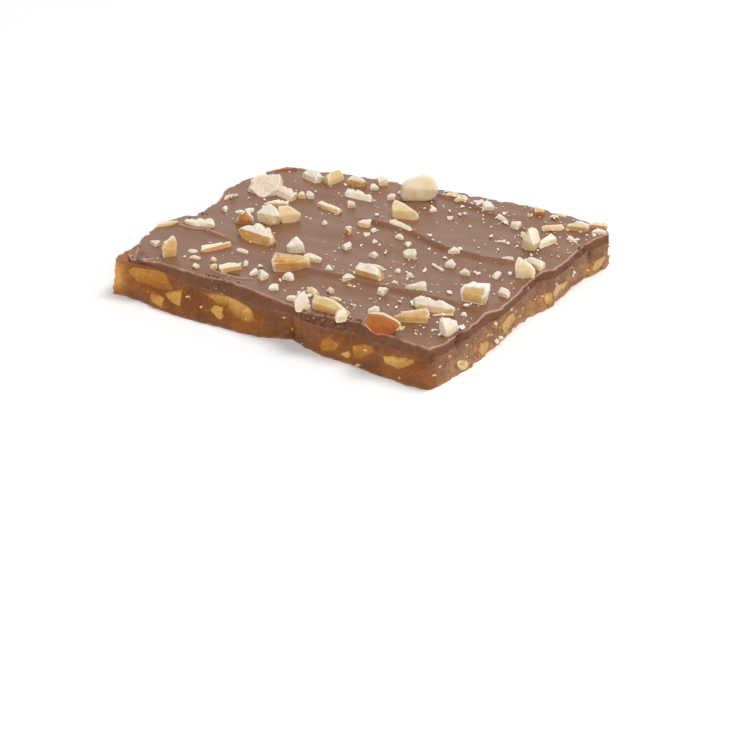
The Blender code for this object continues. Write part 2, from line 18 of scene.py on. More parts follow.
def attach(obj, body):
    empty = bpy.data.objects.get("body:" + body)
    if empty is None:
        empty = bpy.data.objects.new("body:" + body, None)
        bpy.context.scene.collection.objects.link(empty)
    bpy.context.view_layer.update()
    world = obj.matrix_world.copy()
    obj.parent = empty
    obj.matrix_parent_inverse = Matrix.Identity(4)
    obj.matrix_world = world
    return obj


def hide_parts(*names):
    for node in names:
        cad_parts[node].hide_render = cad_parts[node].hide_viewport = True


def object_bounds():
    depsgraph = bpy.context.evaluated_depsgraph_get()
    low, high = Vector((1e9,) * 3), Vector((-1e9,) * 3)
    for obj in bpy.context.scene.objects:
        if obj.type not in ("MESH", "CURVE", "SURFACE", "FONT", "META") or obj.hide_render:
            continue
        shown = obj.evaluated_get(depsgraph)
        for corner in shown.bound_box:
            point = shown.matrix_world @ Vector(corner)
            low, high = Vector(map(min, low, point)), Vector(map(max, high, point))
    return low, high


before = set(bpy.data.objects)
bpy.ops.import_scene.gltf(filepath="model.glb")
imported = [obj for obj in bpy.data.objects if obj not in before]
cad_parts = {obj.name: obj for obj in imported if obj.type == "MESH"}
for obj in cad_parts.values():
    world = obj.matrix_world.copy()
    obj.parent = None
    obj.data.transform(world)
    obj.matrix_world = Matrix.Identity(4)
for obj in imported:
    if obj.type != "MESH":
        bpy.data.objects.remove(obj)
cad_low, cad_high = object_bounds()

# ---- the toffee ----
# Butter and sugar boiled to a hard amber glass, poured on a flat sheet over
# chopped almonds and snapped by hand. Its sides are breaks: smooth where the
# glass gave cleanly, crumbly where it was full of nuts.

MM = 0.001
SLAB_TOP = 8.45          # up to the chocolate's face
TOFFEE_TOP = 6.25        # up to the toffee's face, under a coat of full thickness
THIN_COAT_RISE = 1.5     # how much higher it lies by the bare tip, under a thin one
THIN_COAT_REACH = 11.0
INTERFACE_WAVE = 0.35    # how far that face rises and falls
INTERFACE_WAVE_PLACE = 4.0
WAVE_LENGTH = 17.0
FOOT_START = -0.15       # share of the depth where a foot begins to stand out
FOOT_END = 0.95          # and where it has done so
BREAK_CRAGS = 0.42       # height of the breaks' crags
BREAK_CRAG_SIZE = 5.5
CRAG_FLATTENING = 1.6
SMALL_CRAGS = 0.6        # height of the small ones, as a share of theirs
SMALL_CRAG_RATE = 2.3
RIM_JAGS = 0.30
RIM_JAG_SIZE = 2.1
RIM_JAG_PLACE = 31.0
# Anticlockwise from the bare left tip: x, y, how far the toffee's foot stands
# out below the rim, and how far the chocolate stays back from it.
RIM = (
    (-38.4, -37.2, 0.4, 3.4), (-34.5, -36.9, 1.0, 0.8), (-29.1, -34.4, 3.8, 0.1),
    (-22.1, -34.8, 4.2, 0.0), (-15.1, -34.5, 4.3, 0.0), (-11.7, -33.5, 5.0, 0.0),
    (-6.1, -34.3, 4.1, 0.0), (0.4, -35.1, 2.4, 0.0), (6.3, -35.5, -1.2, 0.0),
    (11.3, -37.1, -1.0, 0.0), (16.9, -36.0, 1.2, 0.0), (23.1, -34.7, 2.4, 0.0),
    (31.7, -36.1, 2.1, 0.0), (39.5, -36.3, 2.0, 0.0), (42.5, -36.7, 1.2, 0.0),
    (43.5, -32.7, 0.4, 0.0), (43.4, -24.2, 0.3, 0.0), (42.2, -17.8, 0.7, 0.0),
    (42.9, -11.7, -1.0, 0.0), (40.3, 2.6, -1.0, 0.0), (39.2, 9.0, 1.2, 0.2),
    (40.7, 12.2, -0.8, 0.0), (39.1, 22.8, -1.2, 0.1), (38.6, 31.6, -0.6, 0.0),
    (39.0, 35.2, -0.8, 0.0), (37.1, 37.7, 0.6, 0.0), (26.9, 38.8, 0.6, 0.0),
    (17.0, 37.6, 1.4, 0.0), (3.9, 35.4, 3.0, 0.0), (-5.1, 34.3, 2.2, 0.0),
    (-15.6, 32.9, 1.2, 0.0), (-26.1, 30.1, 2.0, 0.0), (-38.3, 27.1, 1.0, 0.0),
    (-41.4, 25.8, 0.6, 0.0), (-43.4, 17.8, 0.3, 0.0), (-43.6, 7.3, 0.2, 0.0),
    (-40.4, 0.0, 2.0, 0.0), (-39.1, -7.2, 2.4, 0.0), (-41.8, -14.7, 1.0, 0.1),
    (-42.0, -19.7, 0.6, 0.4), (-41.1, -26.7, 0.5, 1.0),
)
BARE_TIP = Vector((-37.6, -36.2))
SHEET_HALF = (48.0, 44.0)  # half of the sheet that the shard is broken out of
FINE_STATION = 0.30      # between points round the break
NORMAL_SPAN = 6          # stations either side that a break's direction is read over
SIDE_BELOW = -0.6        # the breaks are made from here
SIDE_START = 0.02        # then from here, level by level
SIDE_HEIGHT = 8.3
SIDE_LEVELS = 32
TOFFEE_CELL = 1.5        # width of the faces of its upper face
TOFFEE_IN_COAT = 0.12    # how far it reaches up into the chocolate
TIP_REACHES = (9.0, 8.0, 7.0)  # where the face round the bare tip is made finer
TIP_LUMPS = 0.55         # height of the lumps there
TIP_LUMP_SIZES = (2.1, 0.8)
TORN_REACH = 5.5         # how far round the tip the break is torn
TORN_LUMPS = 0.75
TORN_BITS = 0.24
# Relief of the breaks: height and width of each form.
SHELLS = 0.20            # shell-like breaks of clean glass
SHELL_SIZE = 3.2
SHELL_PLACE = Vector((0.0, 0.0, 5.0))
LUMPS = 0.42             # lumps, bits and steps where it is crumbly
LUMP_SIZE = 2.6
LUMP_PLACE = Vector((0.0, 40.0, 0.0))
BITS = 0.20
CLEAN_BITS = 0.02        # the same bits on clean glass
BIT_SIZES = (1.1, 0.5)
STEPS = 0.22
STEP_SIZE = (3.0, 1.1)   # width and height of a step
STEP_PLACE = 20.0
FOOT_LIP = 0.16          # lip along the foot, where the toffee ran on the sheet
FOOT_LIP_TOP = 0.55
FOOT_LIP_SIZE = 1.7
CRUMBLY_FROM = (-0.75, 0.25)  # how far to +Y a break looks when it is clean, and when crumbly
CRUMBLY_PATCH = 9.0
CRUMBLY_PLACE = 70.0
BREAK_SHARP = math.radians(42.0)  # angle from which an edge of a break is drawn sharp
# Places where light comes through the glass: x, y, z, radius and strength.
GLOWS = ((-38.6, -37.6, 4.0, 4.6, 1.0), (43.0, -37.6, 2.6, 3.6, 0.40), (34.5, -38.4, 1.4, 4.0, 0.35),
         (13.0, -37.0, 3.0, 5.5, 0.20), (-2.0, -38.0, 1.2, 6.0, 0.25), (-40.5, -30.0, 5.0, 5.5, 0.55),
         (9.0, -36.0, 5.0, 3.0, 0.35))
# Pits that fallen nuts left in the break: x, y, z, radius and depth.
PITS = ((43.5, -27.0, 7.0, 1.5, 1.6), (40.0, 7.5, 6.5, 1.2, 1.5), (39.0, 26.5, 7.5, 0.9, 1.2),
        (43.0, -36.0, 6.0, 0.9, 0.9), (38.5, 29.5, 5.0, 1.6, 0.8))


def smoothstep(edge0, edge1, value):
    """Rise smoothly from 0 at edge0 to 1 at edge1."""
    share = min(1.0, max(0.0, (value - edge0) / (edge1 - edge0)))
    return share * share * (3.0 - 2.0 * share)


def swell(x, y, place):
    """Slow rise and fall over the slab, from -1 to 1."""
    return noise.noise(Vector((x / WAVE_LENGTH, y / WAVE_LENGTH, place)))


def toffee_face(x, y):
    """Height of the toffee's upper face."""
    tip = (Vector((x, y)) - BARE_TIP).length / THIN_COAT_REACH
    wave = INTERFACE_WAVE * swell(x, y, INTERFACE_WAVE_PLACE)
    return TOFFEE_TOP + wave + THIN_COAT_RISE * math.exp(-tip * tip)


def rim_stations(step, span):
    """Stations round the rim: place, outward normal, foot and set-back."""
    rows = [Vector(row) for row in RIM]
    points = []
    for row, following in zip(rows, rows[1:] + rows[:1]):
        parts = max(1, round((following.xy - row.xy).length / step))
        points += [row.lerp(following, part / parts) for part in range(parts)]
    stations = []
    for number, point in enumerate(points):
        before, after = points[number - span].xy, points[(number + span) % len(points)].xy
        tangent = (after - before).normalized()
        normal = Vector((tangent.y, -tangent.x))
        jag_place = Vector((point.x / RIM_JAG_SIZE, point.y / RIM_JAG_SIZE, RIM_JAG_PLACE))
        jag = RIM_JAGS * noise.noise(jag_place)
        stations.append((point.xy + normal * jag, normal, point.z, point.w))
    return stations


def break_point(station, z, set_back):
    """A point of the broken side at a height, in from the rim by set_back."""
    place, normal, foot, _ = station
    share = 1.0 - z / SLAB_TOP
    flare = foot * smoothstep(FOOT_START, FOOT_END, share)
    crag_place = Vector((place.x, place.y, z * CRAG_FLATTENING)) / BREAK_CRAG_SIZE
    small = abs(noise.noise(crag_place * SMALL_CRAG_RATE))
    crag = BREAK_CRAGS * (noise.noise(crag_place) - SMALL_CRAGS * small)
    return place + normal * (flare + crag - set_back)


def crumbliness(place, normal):
    """How crumbly the break is: little on the long front, more on the others."""
    spot = Vector((place.x / CRUMBLY_PATCH, place.y / CRUMBLY_PATCH, CRUMBLY_PLACE))
    patch = 0.5 + 0.5 * noise.noise(spot)
    return smoothstep(*CRUMBLY_FROM, normal.y) * (0.65 + 0.5 * patch) + 0.06 * patch


def near_tip(place, reach):
    """How near the bare tip a place is, from 0 to 1."""
    return math.exp(-((place - BARE_TIP).length / reach) ** 2)


def nearness(point, row):
    """How near a place is to a row's x, y and z, from 0 to 1, by the row's radius."""
    return math.exp(-((point - Vector(row[:3])).length / row[3]) ** 2)


def pit_share(point):
    """How deep in a pit a place is, from 0 to 1."""
    return max(nearness(point, row) for row in PITS)


def pit_depth(point):
    """How far the pits draw the break in at a place."""
    return sum(row[4] * nearness(point, row) for row in PITS)


def toffee_relief(station, place, z):
    """Fine relief of the broken glass, outward positive."""
    point = Vector((place.x, place.y, z))
    crumbly = crumbliness(place, station[1])
    shell = abs(noise.noise(point / SHELL_SIZE + SHELL_PLACE)) - 0.25
    lump = noise.noise(point / LUMP_SIZE + LUMP_PLACE)
    bit = noise.noise(point / BIT_SIZES[0]) + 0.4 * noise.noise(point / BIT_SIZES[1])
    wide, high = STEP_SIZE
    step = abs(noise.noise(Vector((point.x / wide, point.y / wide, point.z / high + STEP_PLACE)))) - 0.2
    lip = FOOT_LIP * smoothstep(FOOT_LIP_TOP, 0.0, z) * (0.6 + 0.6 * noise.noise(point / FOOT_LIP_SIZE))
    rough = LUMPS * lump + BITS * bit + STEPS * step
    torn = near_tip(place, TORN_REACH) * (TORN_LUMPS * lump + TORN_BITS * bit)
    return SHELLS * shell + crumbly * rough + torn + CLEAN_BITS * bit + lip - pit_depth(point)


def side_block(stations, levels, coated, relief):
    """The upright block that the breaks bound, its relief worked in."""
    bm = bmesh.new()
    number = bm.verts.layers.int.new("station")
    ring = []
    for index, (place, _, _, _) in enumerate(stations):
        vert = bm.verts.new((place.x, place.y, levels[0]))
        vert[number] = index
        ring.append(vert)
    base = top = bm.faces.new(ring)
    for z in levels[1:]:
        raised = bmesh.ops.extrude_face_region(bm, geom=[top])
        if top is not base:
            bmesh.ops.delete(bm, geom=[top], context="FACES_ONLY")
        top = next(item for item in raised["geom"] if isinstance(item, bmesh.types.BMFace))
        for vert in top.verts:
            vert.co.z = z
    for vert in bm.verts:
        station = stations[vert[number]]
        z = max(0.0, vert.co.z)
        place = break_point(station, z, station[3] if coated else 0.0)
        vert.co.xy = place + station[1] * relief(station, place, z)
    bmesh.ops.recalc_face_normals(bm, faces=bm.faces)
    return bm


def layer(lower, upper, cell):
    """A wide wavy layer between two height functions."""
    bm = bmesh.new()
    half_x, half_y = SHEET_HALF
    grid = bmesh.ops.create_grid(
        bm, x_segments=round(2 * half_x / cell), y_segments=round(2 * half_y / cell), size=1.0)
    bmesh.ops.scale(bm, vec=(half_x, half_y, 1.0), verts=grid["verts"])
    raised = bmesh.ops.extrude_face_region(bm, geom=bm.faces[:])
    tops = {item for item in raised["geom"] if isinstance(item, bmesh.types.BMVert)}
    for vert in bm.verts:
        height = upper if vert in tops else lower
        vert.co.z = height(vert.co.x, vert.co.y)
    bmesh.ops.recalc_face_normals(bm, faces=bm.faces)
    bmesh.ops.triangulate(bm, faces=bm.faces)
    return bm


def link(name, bm):
    """Make an object of a bmesh that is in metres already."""
    mesh = bpy.data.meshes.new(name)
    bm.to_mesh(mesh)
    bm.free()
    obj = bpy.data.objects.new(name, mesh)
    bpy.context.scene.collection.objects.link(obj)
    return obj


def applied(obj, kind, **settings):
    """Put one modifier on an object and apply it."""
    modifier = obj.modifiers.new(kind.lower(), kind)
    for key, value in settings.items():
        setattr(modifier, key, value)
    depsgraph = bpy.context.evaluated_depsgraph_get()
    mesh = bpy.data.meshes.new_from_object(obj.evaluated_get(depsgraph), depsgraph=depsgraph)
    obj.modifiers.clear()
    spent = obj.data
    obj.data = mesh
    bpy.data.meshes.remove(spent)


def broken_layer(name, sheet, block):
    """The part of a wide layer that lies inside the breaks."""
    for bm in (sheet, block):
        bmesh.ops.scale(bm, vec=(MM, MM, MM), verts=bm.verts)
    body, cutter = link(name, sheet), link(name + "_block", block)
    applied(body, "BOOLEAN", operation="INTERSECT", solver="MANIFOLD", object=cutter)
    bpy.data.objects.remove(cutter)
    body.data.shade_smooth()
    body.data.set_sharp_from_angle(angle=BREAK_SHARP)
    return body


def write_marks(obj, marks, domain="POINT"):
    """Store lists of numbers, one number for each vertex or face."""
    for name, values in marks.items():
        attribute = obj.data.attributes.new(name, "FLOAT", domain)
        attribute.data.foreach_set("value", values)


def dress(obj, material, node):
    """Give a piece its material, hang it on the root and hide the solid's part that it stands for.

    Its relief stays within the solids' own box.
    """
    for vert in obj.data.vertices:
        for axis in range(3):
            vert.co[axis] = min(max(vert.co[axis], cad_low[axis]), cad_high[axis])
    obj.data.materials.clear()
    obj.data.materials.append(material)
    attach(obj, "root")
    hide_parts(node)


def group(name, inputs, outputs):
    """A shader node group with named sockets, and its two end nodes."""
    tree = bpy.data.node_groups.new(name, "ShaderNodeTree")
    for socket, kind, value in inputs:
        made = tree.interface.new_socket(socket, in_out="INPUT", socket_type=kind)
        if value is not None:
            made.default_value = value
    for socket, kind in outputs:
        tree.interface.new_socket(socket, in_out="OUTPUT", socket_type=kind)
    return tree, tree.nodes.new("NodeGroupInput"), tree.nodes.new("NodeGroupOutput")


def add_node(tree, kind, settings=(), **values):
    """Add a node, set its properties, and set or connect its inputs."""
    node = tree.nodes.new(kind)
    for key, value in dict(settings).items():
        setattr(node, key, value)
    for key, value in values.items():
        numbered = key[0] == "i" and key[1:].isdigit()
        socket = node.inputs[int(key[1:]) if numbered else key.replace("_", " ")]
        if isinstance(value, bpy.types.NodeSocket):
            tree.links.new(value, socket)
        else:
            socket.default_value = value
    return node


def mottle_group():
    """Patches that change over a surface, from 0 to 1: slow ones, and finer ones on them."""
    tree, start, end = group("mottle", (
        ("Vector", "NodeSocketVector", None), ("Patch Size", "NodeSocketFloat", 0.004),
        ("Contrast", "NodeSocketFloat", 1.0)), (("Mask", "NodeSocketFloat"),))
    rate = add_node(tree, "ShaderNodeMath", {"operation": "DIVIDE"}, i0=1.0, i1=start.outputs["Patch Size"])
    cloud = add_node(tree, "ShaderNodeTexNoise", Vector=start.outputs["Vector"],
                     Scale=rate.outputs[0], Detail=5.0, Roughness=0.6)
    centred = add_node(tree, "ShaderNodeMath", {"operation": "SUBTRACT"}, i0=cloud.outputs["Fac"], i1=0.5)
    spread = add_node(tree, "ShaderNodeMath", {"operation": "MULTIPLY_ADD", "use_clamp": True},
                      i0=centred.outputs[0], i1=start.outputs["Contrast"], i2=0.5)
    tree.links.new(spread.outputs[0], end.inputs["Mask"])
    return tree


def grain_group():
    """Height of a fine grain, in metres."""
    tree, start, end = group("grain", (
        ("Vector", "NodeSocketVector", None), ("Grain Size", "NodeSocketFloat", 0.0004),
        ("Depth", "NodeSocketFloat", 0.00003)), (("Height", "NodeSocketFloat"),))
    rate = add_node(tree, "ShaderNodeMath", {"operation": "DIVIDE"}, i0=1.0, i1=start.outputs["Grain Size"])
    cloud = add_node(tree, "ShaderNodeTexNoise", Vector=start.outputs["Vector"],
                     Scale=rate.outputs[0], Detail=3.0, Roughness=0.55)
    height = add_node(tree, "ShaderNodeMath", {"operation": "MULTIPLY"},
                      i0=cloud.outputs["Fac"], i1=start.outputs["Depth"])
    tree.links.new(height.outputs[0], end.inputs["Height"])
    return tree


MOTTLE = mottle_group()
GRAIN = grain_group()
AMBER_DEEP = (0.112, 0.040, 0.016)
AMBER = (0.150, 0.049, 0.014)
AMBER_CLEAR = (0.225, 0.076, 0.015)
AMBER_BY_ALMOND = (0.38, 0.115, 0.014)
MILKY_DARK = (0.275, 0.130, 0.068)
MILKY = (0.43, 0.230, 0.125)
MILKY_PALE = (0.64, 0.40, 0.220)
CLOT_GOLD = (0.66, 0.375, 0.125)
CLOT_DARK = (0.12, 0.050, 0.022)
LIT_DEEP = (0.36, 0.095, 0.010)
LIT = (0.43, 0.130, 0.015)
LIT_BRIGHT = (0.74, 0.33, 0.085)
# painted highlight along the toffee's foot, where its lip catches the light
FOOT_HIGHLIGHT = (0.52, 0.30, 0.13)
SMEAR = (0.215, 0.092, 0.046)
SMEAR_CRUMBLY = (0.290, 0.142, 0.080)
# painted shade in the pits of the breaks
PIT_SHADE = (0.045, 0.016, 0.008)
FLECK_DARK = (0.085, 0.026, 0.008)
FLECK_BRIGHT = (0.50, 0.235, 0.075)
SPECK_TAN = (0.42, 0.21, 0.07)


class Finish:
    """A material being built: its tree, its shader and its object coordinates."""

    def __init__(self, name, **shader_values):
        self.material = bpy.data.materials.new(name)
        self.material.use_nodes = True
        self.tree = self.material.node_tree
        self.shader = self.tree.nodes["Principled BSDF"]
        for key, value in shader_values.items():
            self.shader.inputs[key.replace("_", " ")].default_value = value
        self.place = add_node(self.tree, "ShaderNodeTexCoord").outputs["Object"]

    def add(self, kind, settings=(), **values):
        """Add a node to the material."""
        return add_node(self.tree, kind, settings, **values)

    def use(self, shared, flatten=1.0, **values):
        """Place a shared group in the material, on object coordinates."""
        node = self.tree.nodes.new("ShaderNodeGroup")
        node.node_tree = shared
        place = self.add("ShaderNodeVectorMath", {"operation": "MULTIPLY"},
                         i0=self.place, i1=(1.0, 1.0, flatten))
        self.tree.links.new(place.outputs[0], node.inputs["Vector"])
        for key, value in values.items():
            node.inputs[key.replace("_", " ")].default_value = value
        return node.outputs[0]

    def attribute(self, name):
        """A number that the mesh stores."""
        return self.add("ShaderNodeAttribute", {"attribute_name": name}).outputs["Fac"]

    def mix(self, factor, first, second):
        """Mix two colours."""
        node = self.tree.nodes.new("ShaderNodeMix")
        node.data_type = "RGBA"
        for socket, value in ((node.inputs[0], factor), (node.inputs[6], first), (node.inputs[7], second)):
            if isinstance(value, bpy.types.NodeSocket):
                self.tree.links.new(value, socket)
            elif isinstance(value, tuple):
                socket.default_value = (*value, 1.0)
            else:
                socket.default_value = value
        return node.outputs[2]

    def calculate(self, operation, *values):
        """A math node."""
        node = self.add("ShaderNodeMath", {"operation": operation},
                        **{f"i{number}": value for number, value in enumerate(values)})
        return node.outputs[0]

    def between(self, value, low, high, to_low, to_high):
        """Map a range of a value to another range, clamped."""
        return self.add("ShaderNodeMapRange", {}, Value=value, From_Min=low, From_Max=high,
                        To_Min=to_low, To_Max=to_high).outputs[0]

    def ramp(self, factor, *stops):
        """A colour ramp of (place, colour) stops."""
        node = self.add("ShaderNodeValToRGB", {}, Fac=factor)
        elements = node.color_ramp.elements
        while len(elements) < len(stops):
            elements.new(0.5)
        for element, (place, colour) in zip(elements, stops):
            element.position = place
            element.color = (*colour, 1.0)
        return node.outputs["Color"]

    def colour(self, socket):
        """Connect the base colour."""
        self.tree.links.new(socket, self.shader.inputs["Base Color"])

    def roughness(self, socket):
        """Connect the roughness."""
        self.tree.links.new(socket, self.shader.inputs["Roughness"])

    def coat(self, socket):
        """Connect how much clear gloss lies over it."""
        self.tree.links.new(socket, self.shader.inputs["Coat Weight"])

    def bump(self, height):
        """Connect a height in metres through a bump."""
        node = self.add("ShaderNodeBump", {}, Height=height, Distance=1.0, Strength=1.0)
        self.tree.links.new(node.outputs[0], self.shader.inputs["Normal"])


def toffee_finish():
    """Amber glass: brown in its depth, orange where light comes through, milky where crumbly, with a painted
    highlight along its foot and painted shade in its pits.
    """
    finish = Finish("toffee", Subsurface_Weight=0.22, Subsurface_Scale=0.0018,
                    Subsurface_Radius=(1.0, 0.40, 0.12), Specular_IOR_Level=0.22,
                    Coat_Roughness=0.22)
    glow, halo, crumbly, lip, smear, pit_shade = (
        finish.attribute(name) for name in ("glow", "halo", "crumbly", "lip", "smear", "pit_shade"))
    patches = finish.use(MOTTLE, Patch_Size=0.0045, Contrast=1.8)
    specks = finish.use(MOTTLE, Patch_Size=0.0008, Contrast=2.4)
    clots = finish.use(MOTTLE, flatten=1.3, Patch_Size=0.0030, Contrast=3.0)
    flecks = finish.use(MOTTLE, Patch_Size=0.00045, Contrast=2.6)
    amber = finish.ramp(patches, (0.12, AMBER_DEEP), (0.50, AMBER), (0.88, AMBER_CLEAR))
    amber = finish.mix(finish.calculate("MULTIPLY", halo, 0.50), amber, AMBER_BY_ALMOND)
    # Crumbly breaks: milky sugar, with gold clots low down and dark ones between.
    milky = finish.ramp(specks, (0.2, MILKY_DARK), (0.55, MILKY), (0.9, MILKY_PALE))
    height = finish.add("ShaderNodeSeparateXYZ", {}, Vector=finish.place).outputs["Z"]
    clots = finish.calculate("ADD", clots, finish.between(height, 0.0010, 0.0050, 0.20, -0.14))
    milky = finish.mix(finish.between(clots, 0.58, 0.84, 0.0, 0.66), milky, CLOT_GOLD)
    milky = finish.mix(finish.between(clots, 0.30, 0.10, 0.0, 0.50), milky, CLOT_DARK)
    amber = finish.mix(finish.calculate("MULTIPLY", crumbly, 0.80), amber, milky)
    # Painted light where light comes through, a painted highlight along the foot, chocolate smeared under the
    # coat, and painted shade in pits.
    lit = finish.ramp(glow, (0.0, LIT_DEEP), (0.45, LIT), (0.95, LIT_BRIGHT))
    amber = finish.mix(finish.between(glow, 0.0, 0.9, 0.0, 0.92), amber, lit)
    # painted highlight along the foot
    amber = finish.mix(finish.calculate("MULTIPLY", lip, 0.45), amber, FOOT_HIGHLIGHT)
    smeared = finish.mix(crumbly, SMEAR, SMEAR_CRUMBLY)
    amber = finish.mix(finish.calculate("MULTIPLY", smear, 0.80), amber, smeared)
    # painted shade in the pits that fallen nuts left
    amber = finish.mix(finish.calculate("MULTIPLY", pit_shade, 0.85), amber, PIT_SHADE)
    amber = finish.mix(finish.between(flecks, 0.30, 0.0, 0.0, 0.45), amber, FLECK_DARK)
    amber = finish.mix(finish.between(flecks, 0.74, 1.0, 0.0, 0.45), amber, FLECK_BRIGHT)
    finish.colour(finish.mix(finish.between(specks, 0.72, 1.0, 0.0, 0.30), amber, SPECK_TAN))
    uneven = finish.between(specks, 0.0, 1.0, 0.20, 0.44)
    finish.roughness(finish.calculate("MULTIPLY_ADD", crumbly, 0.34, uneven))
    finish.coat(finish.between(crumbly, 0.0, 0.6, 0.12, 0.0))
    finish.bump(finish.use(GRAIN, Grain_Size=0.0009, Depth=0.00016))
    return finish.material


def glow_at(point):
    """How much light comes through the toffee at a place."""
    return min(1.0, sum(row[4] * nearness(point, row) for row in GLOWS))


fine_stations = rim_stations(FINE_STATION, NORMAL_SPAN)
station_tree = KDTree(len(fine_stations))
for index, station in enumerate(fine_stations):
    station_tree.insert(station[0].to_3d(), index)
station_tree.balance()


def nearest_station(place):
    """The station nearest to a place, seen from above."""
    return fine_stations[station_tree.find((place.x, place.y, 0.0))[1]]


def halve_edges(bm, edges):
    """Cut edges in half and split the faces beside them into triangles."""
    bmesh.ops.subdivide_edges(bm, edges=edges, cuts=1)
    bmesh.ops.triangulate(bm, faces=[face for face in bm.faces if len(face.verts) > 3])


def lumpy_tip(bm):
    """Give the bare tip, which no chocolate covers, the lumps of torn toffee."""
    for reach in TIP_REACHES:
        halve_edges(bm, [edge for edge in bm.edges if (
            (edge.verts[0].co + edge.verts[1].co).xy / 2.0 - BARE_TIP).length < reach])
    wide, narrow = TIP_LUMP_SIZES
    for vert in bm.verts:
        near = smoothstep(TIP_REACHES[-1], 0.5 * TIP_REACHES[-1], (vert.co.xy - BARE_TIP).length)
        if vert.co.z > 1.0 and near > 0.0:
            lump = noise.noise(vert.co / wide) + 0.45 * noise.noise(vert.co / narrow)
            vert.co.z = toffee_face(vert.co.x, vert.co.y) + near * TIP_LUMPS * lump
    return bm


toffee_levels = [SIDE_START + SIDE_HEIGHT * step / SIDE_LEVELS for step in range(SIDE_LEVELS + 1)]
toffee = broken_layer(
    "toffee_slab",
    lumpy_tip(layer(lambda x, y: 0.0, lambda x, y: toffee_face(x, y) + TOFFEE_IN_COAT, TOFFEE_CELL)),
    side_block(fine_stations, [SIDE_BELOW] + toffee_levels, False, toffee_relief))

# ---- the almonds laid bare ----
# The breaks cut or tore through the almonds in the toffee. What shows is a
# golden cut face, flush with the glass or just proud of it, paler at its rim,
# with a film of amber over part of it.

# The broad cut face of a chopped almond: corners from its lower left one,
# anticlockwise, as shares of its own length and of its own reach.
OUTLINES = {
    "kite": ((-0.48, 0), (0.48, 0), (0.50, 0.55), (0.40, 0.92), (0.0, 1.0), (-0.50, 0.65)),
    "block": ((-0.46, 0), (0.40, 0), (0.50, 0.65), (0.46, 1.0), (-0.44, 0.88), (-0.50, 0.5)),
    "tooth": ((-0.45, 0), (0.48, 0), (0.42, 0.55), (0.05, 1.0), (-0.22, 0.78), (-0.50, 0.42)),
    "spire": ((-0.48, 0), (0.38, 0), (0.50, 0.5), (0.20, 0.85), (-0.18, 1.0), (-0.40, 0.55)),
    "chunk": ((-0.32, 0), (0.38, 0), (0.50, 0.33), (0.22, 0.84), (-0.08, 1.0), (-0.50, 0.45)),
    "leaf": ((-0.25, 0), (0.32, 0), (0.50, 0.5), (0.45, 0.95), (0.0, 0.92), (-0.50, 0.45)),
    "plank": ((-0.38, 0), (0.43, 0), (0.50, 0.45), (0.25, 0.72), (-0.40, 1.0), (-0.50, 0.55)),
    "wedge": ((-0.30, 0), (0.50, 0), (0.48, 1.0), (0.05, 0.78), (-0.50, 0.2)),
    "dome": ((-0.33, 0), (0.30, 0), (0.50, 0.36), (0.42, 0.85), (0.05, 1.0), (-0.35, 0.72), (-0.5, 0.25)),
    "stump": ((-0.5, 0), (0.12, 0), (0.5, 0.3), (0.5, 0.6), (-0.15, 1.0), (-0.5, 0.88)),
    "husk": ((-0.27, 0), (0.08, 0), (0.50, 0.6), (0.2, 0.9), (-0.30, 1.0), (-0.50, 0.5)),
    "lens": ((-0.14, 0), (0.04, 0), (0.50, 0.52), (0.30, 0.72), (-0.05, 0.96), (-0.44, 1.0), (-0.50, 0.75),
             (-0.40, 0.22)),
    "slab": ((0.02, 0), (0.14, 0), (0.50, 0.82), (0.30, 1.0), (-0.24, 0.86), (-0.50, 0.36)),
}
# Outlines whose foot and knee are their own, as the same shares.
OWN_FOOT_AND_KNEE = {"lens": (0.30, 0.38), "slab": (0.86, 0.0)}
PIECE_FOOT = 0.86        # spread of the foot, as a share of the face's
PIECE_BACK = 0.80        # width of the back, likewise
PIECE_KNEE = 0.38        # height of the face's knee, as a share of its reach
STEEPER = 26.0           # degrees by which the face is steeper below the knee
FLATTER = 10.0           # and flatter above it
CHOP_WANDER = 0.10       # how far the knife strayed at a corner
# Outline (mirrored where the length is negative), x and y near the foot of the
# cut face, the height of that foot, length, reach and slant in degrees; then
# how golden it is, how far the amber film covers it, and how much more of the
# film it has at its right end than at its left.
BARED = (
    ("husk", -28.5, -36.5, 7.5, -13.5, 4.0, 175, 0.60, 0.30, 0.15),
    ("wedge", -27.0, -38.0, 3.0, -6.0, 2.5, 175, 0.46, 0.15, -0.40),
    ("wedge", -22.5, -38.0, 4.5, -4.5, 3.0, -165, 0.40, 0.10, -0.10),
    ("plank", -9.5, -38.0, 3.5, -3.5, 2.5, 130, 0.36, 0.20, 0.30),
    ("husk", -7.5, -36.0, 6.0, 16.5, 3.0, 170, 0.32, 0.66, -1.10),
    ("chunk", 18.0, -36.5, 1.5, -5.5, 3.0, 15, 0.62, 0.35, -0.20),
    ("husk", 22.5, -37.0, 1.0, -2.5, 1.5, 15, 0.24, 0.10, 0.0),
    ("stump", 26.0, -37.0, 5.0, -5.5, 3.0, -160, 0.62, 0.25, 0.20),
    ("tooth", 35.5, -37.5, 5.0, 8.0, 2.5, -170, 0.32, 0.30, 0.75),
    ("dome", 43.5, -26.5, 2.5, -4.5, 2.0, 160, 0.02, 0.0, 0.10),
    ("tooth", 42.5, -17.5, 3.0, 5.0, 3.0, 160, 0.26, 0.10, 0.20),
    ("husk", 41.0, -5.5, 4.5, -8.5, 3.5, 165, 0.22, 0.10, 0.10),
    ("plank", 40.5, 10.0, 3.5, 3.5, 3.0, 160, 0.22, 0.15, 0.0),
    ("dome", 39.5, 15.5, 3.5, 8.5, 2.0, 175, 0.10, 0.10, 0.0),
    ("leaf", 38.0, 32.0, 1.0, 6.0, 2.5, 0, 0.24, 0.25, 0.0),
)
BARED_SEED = 300
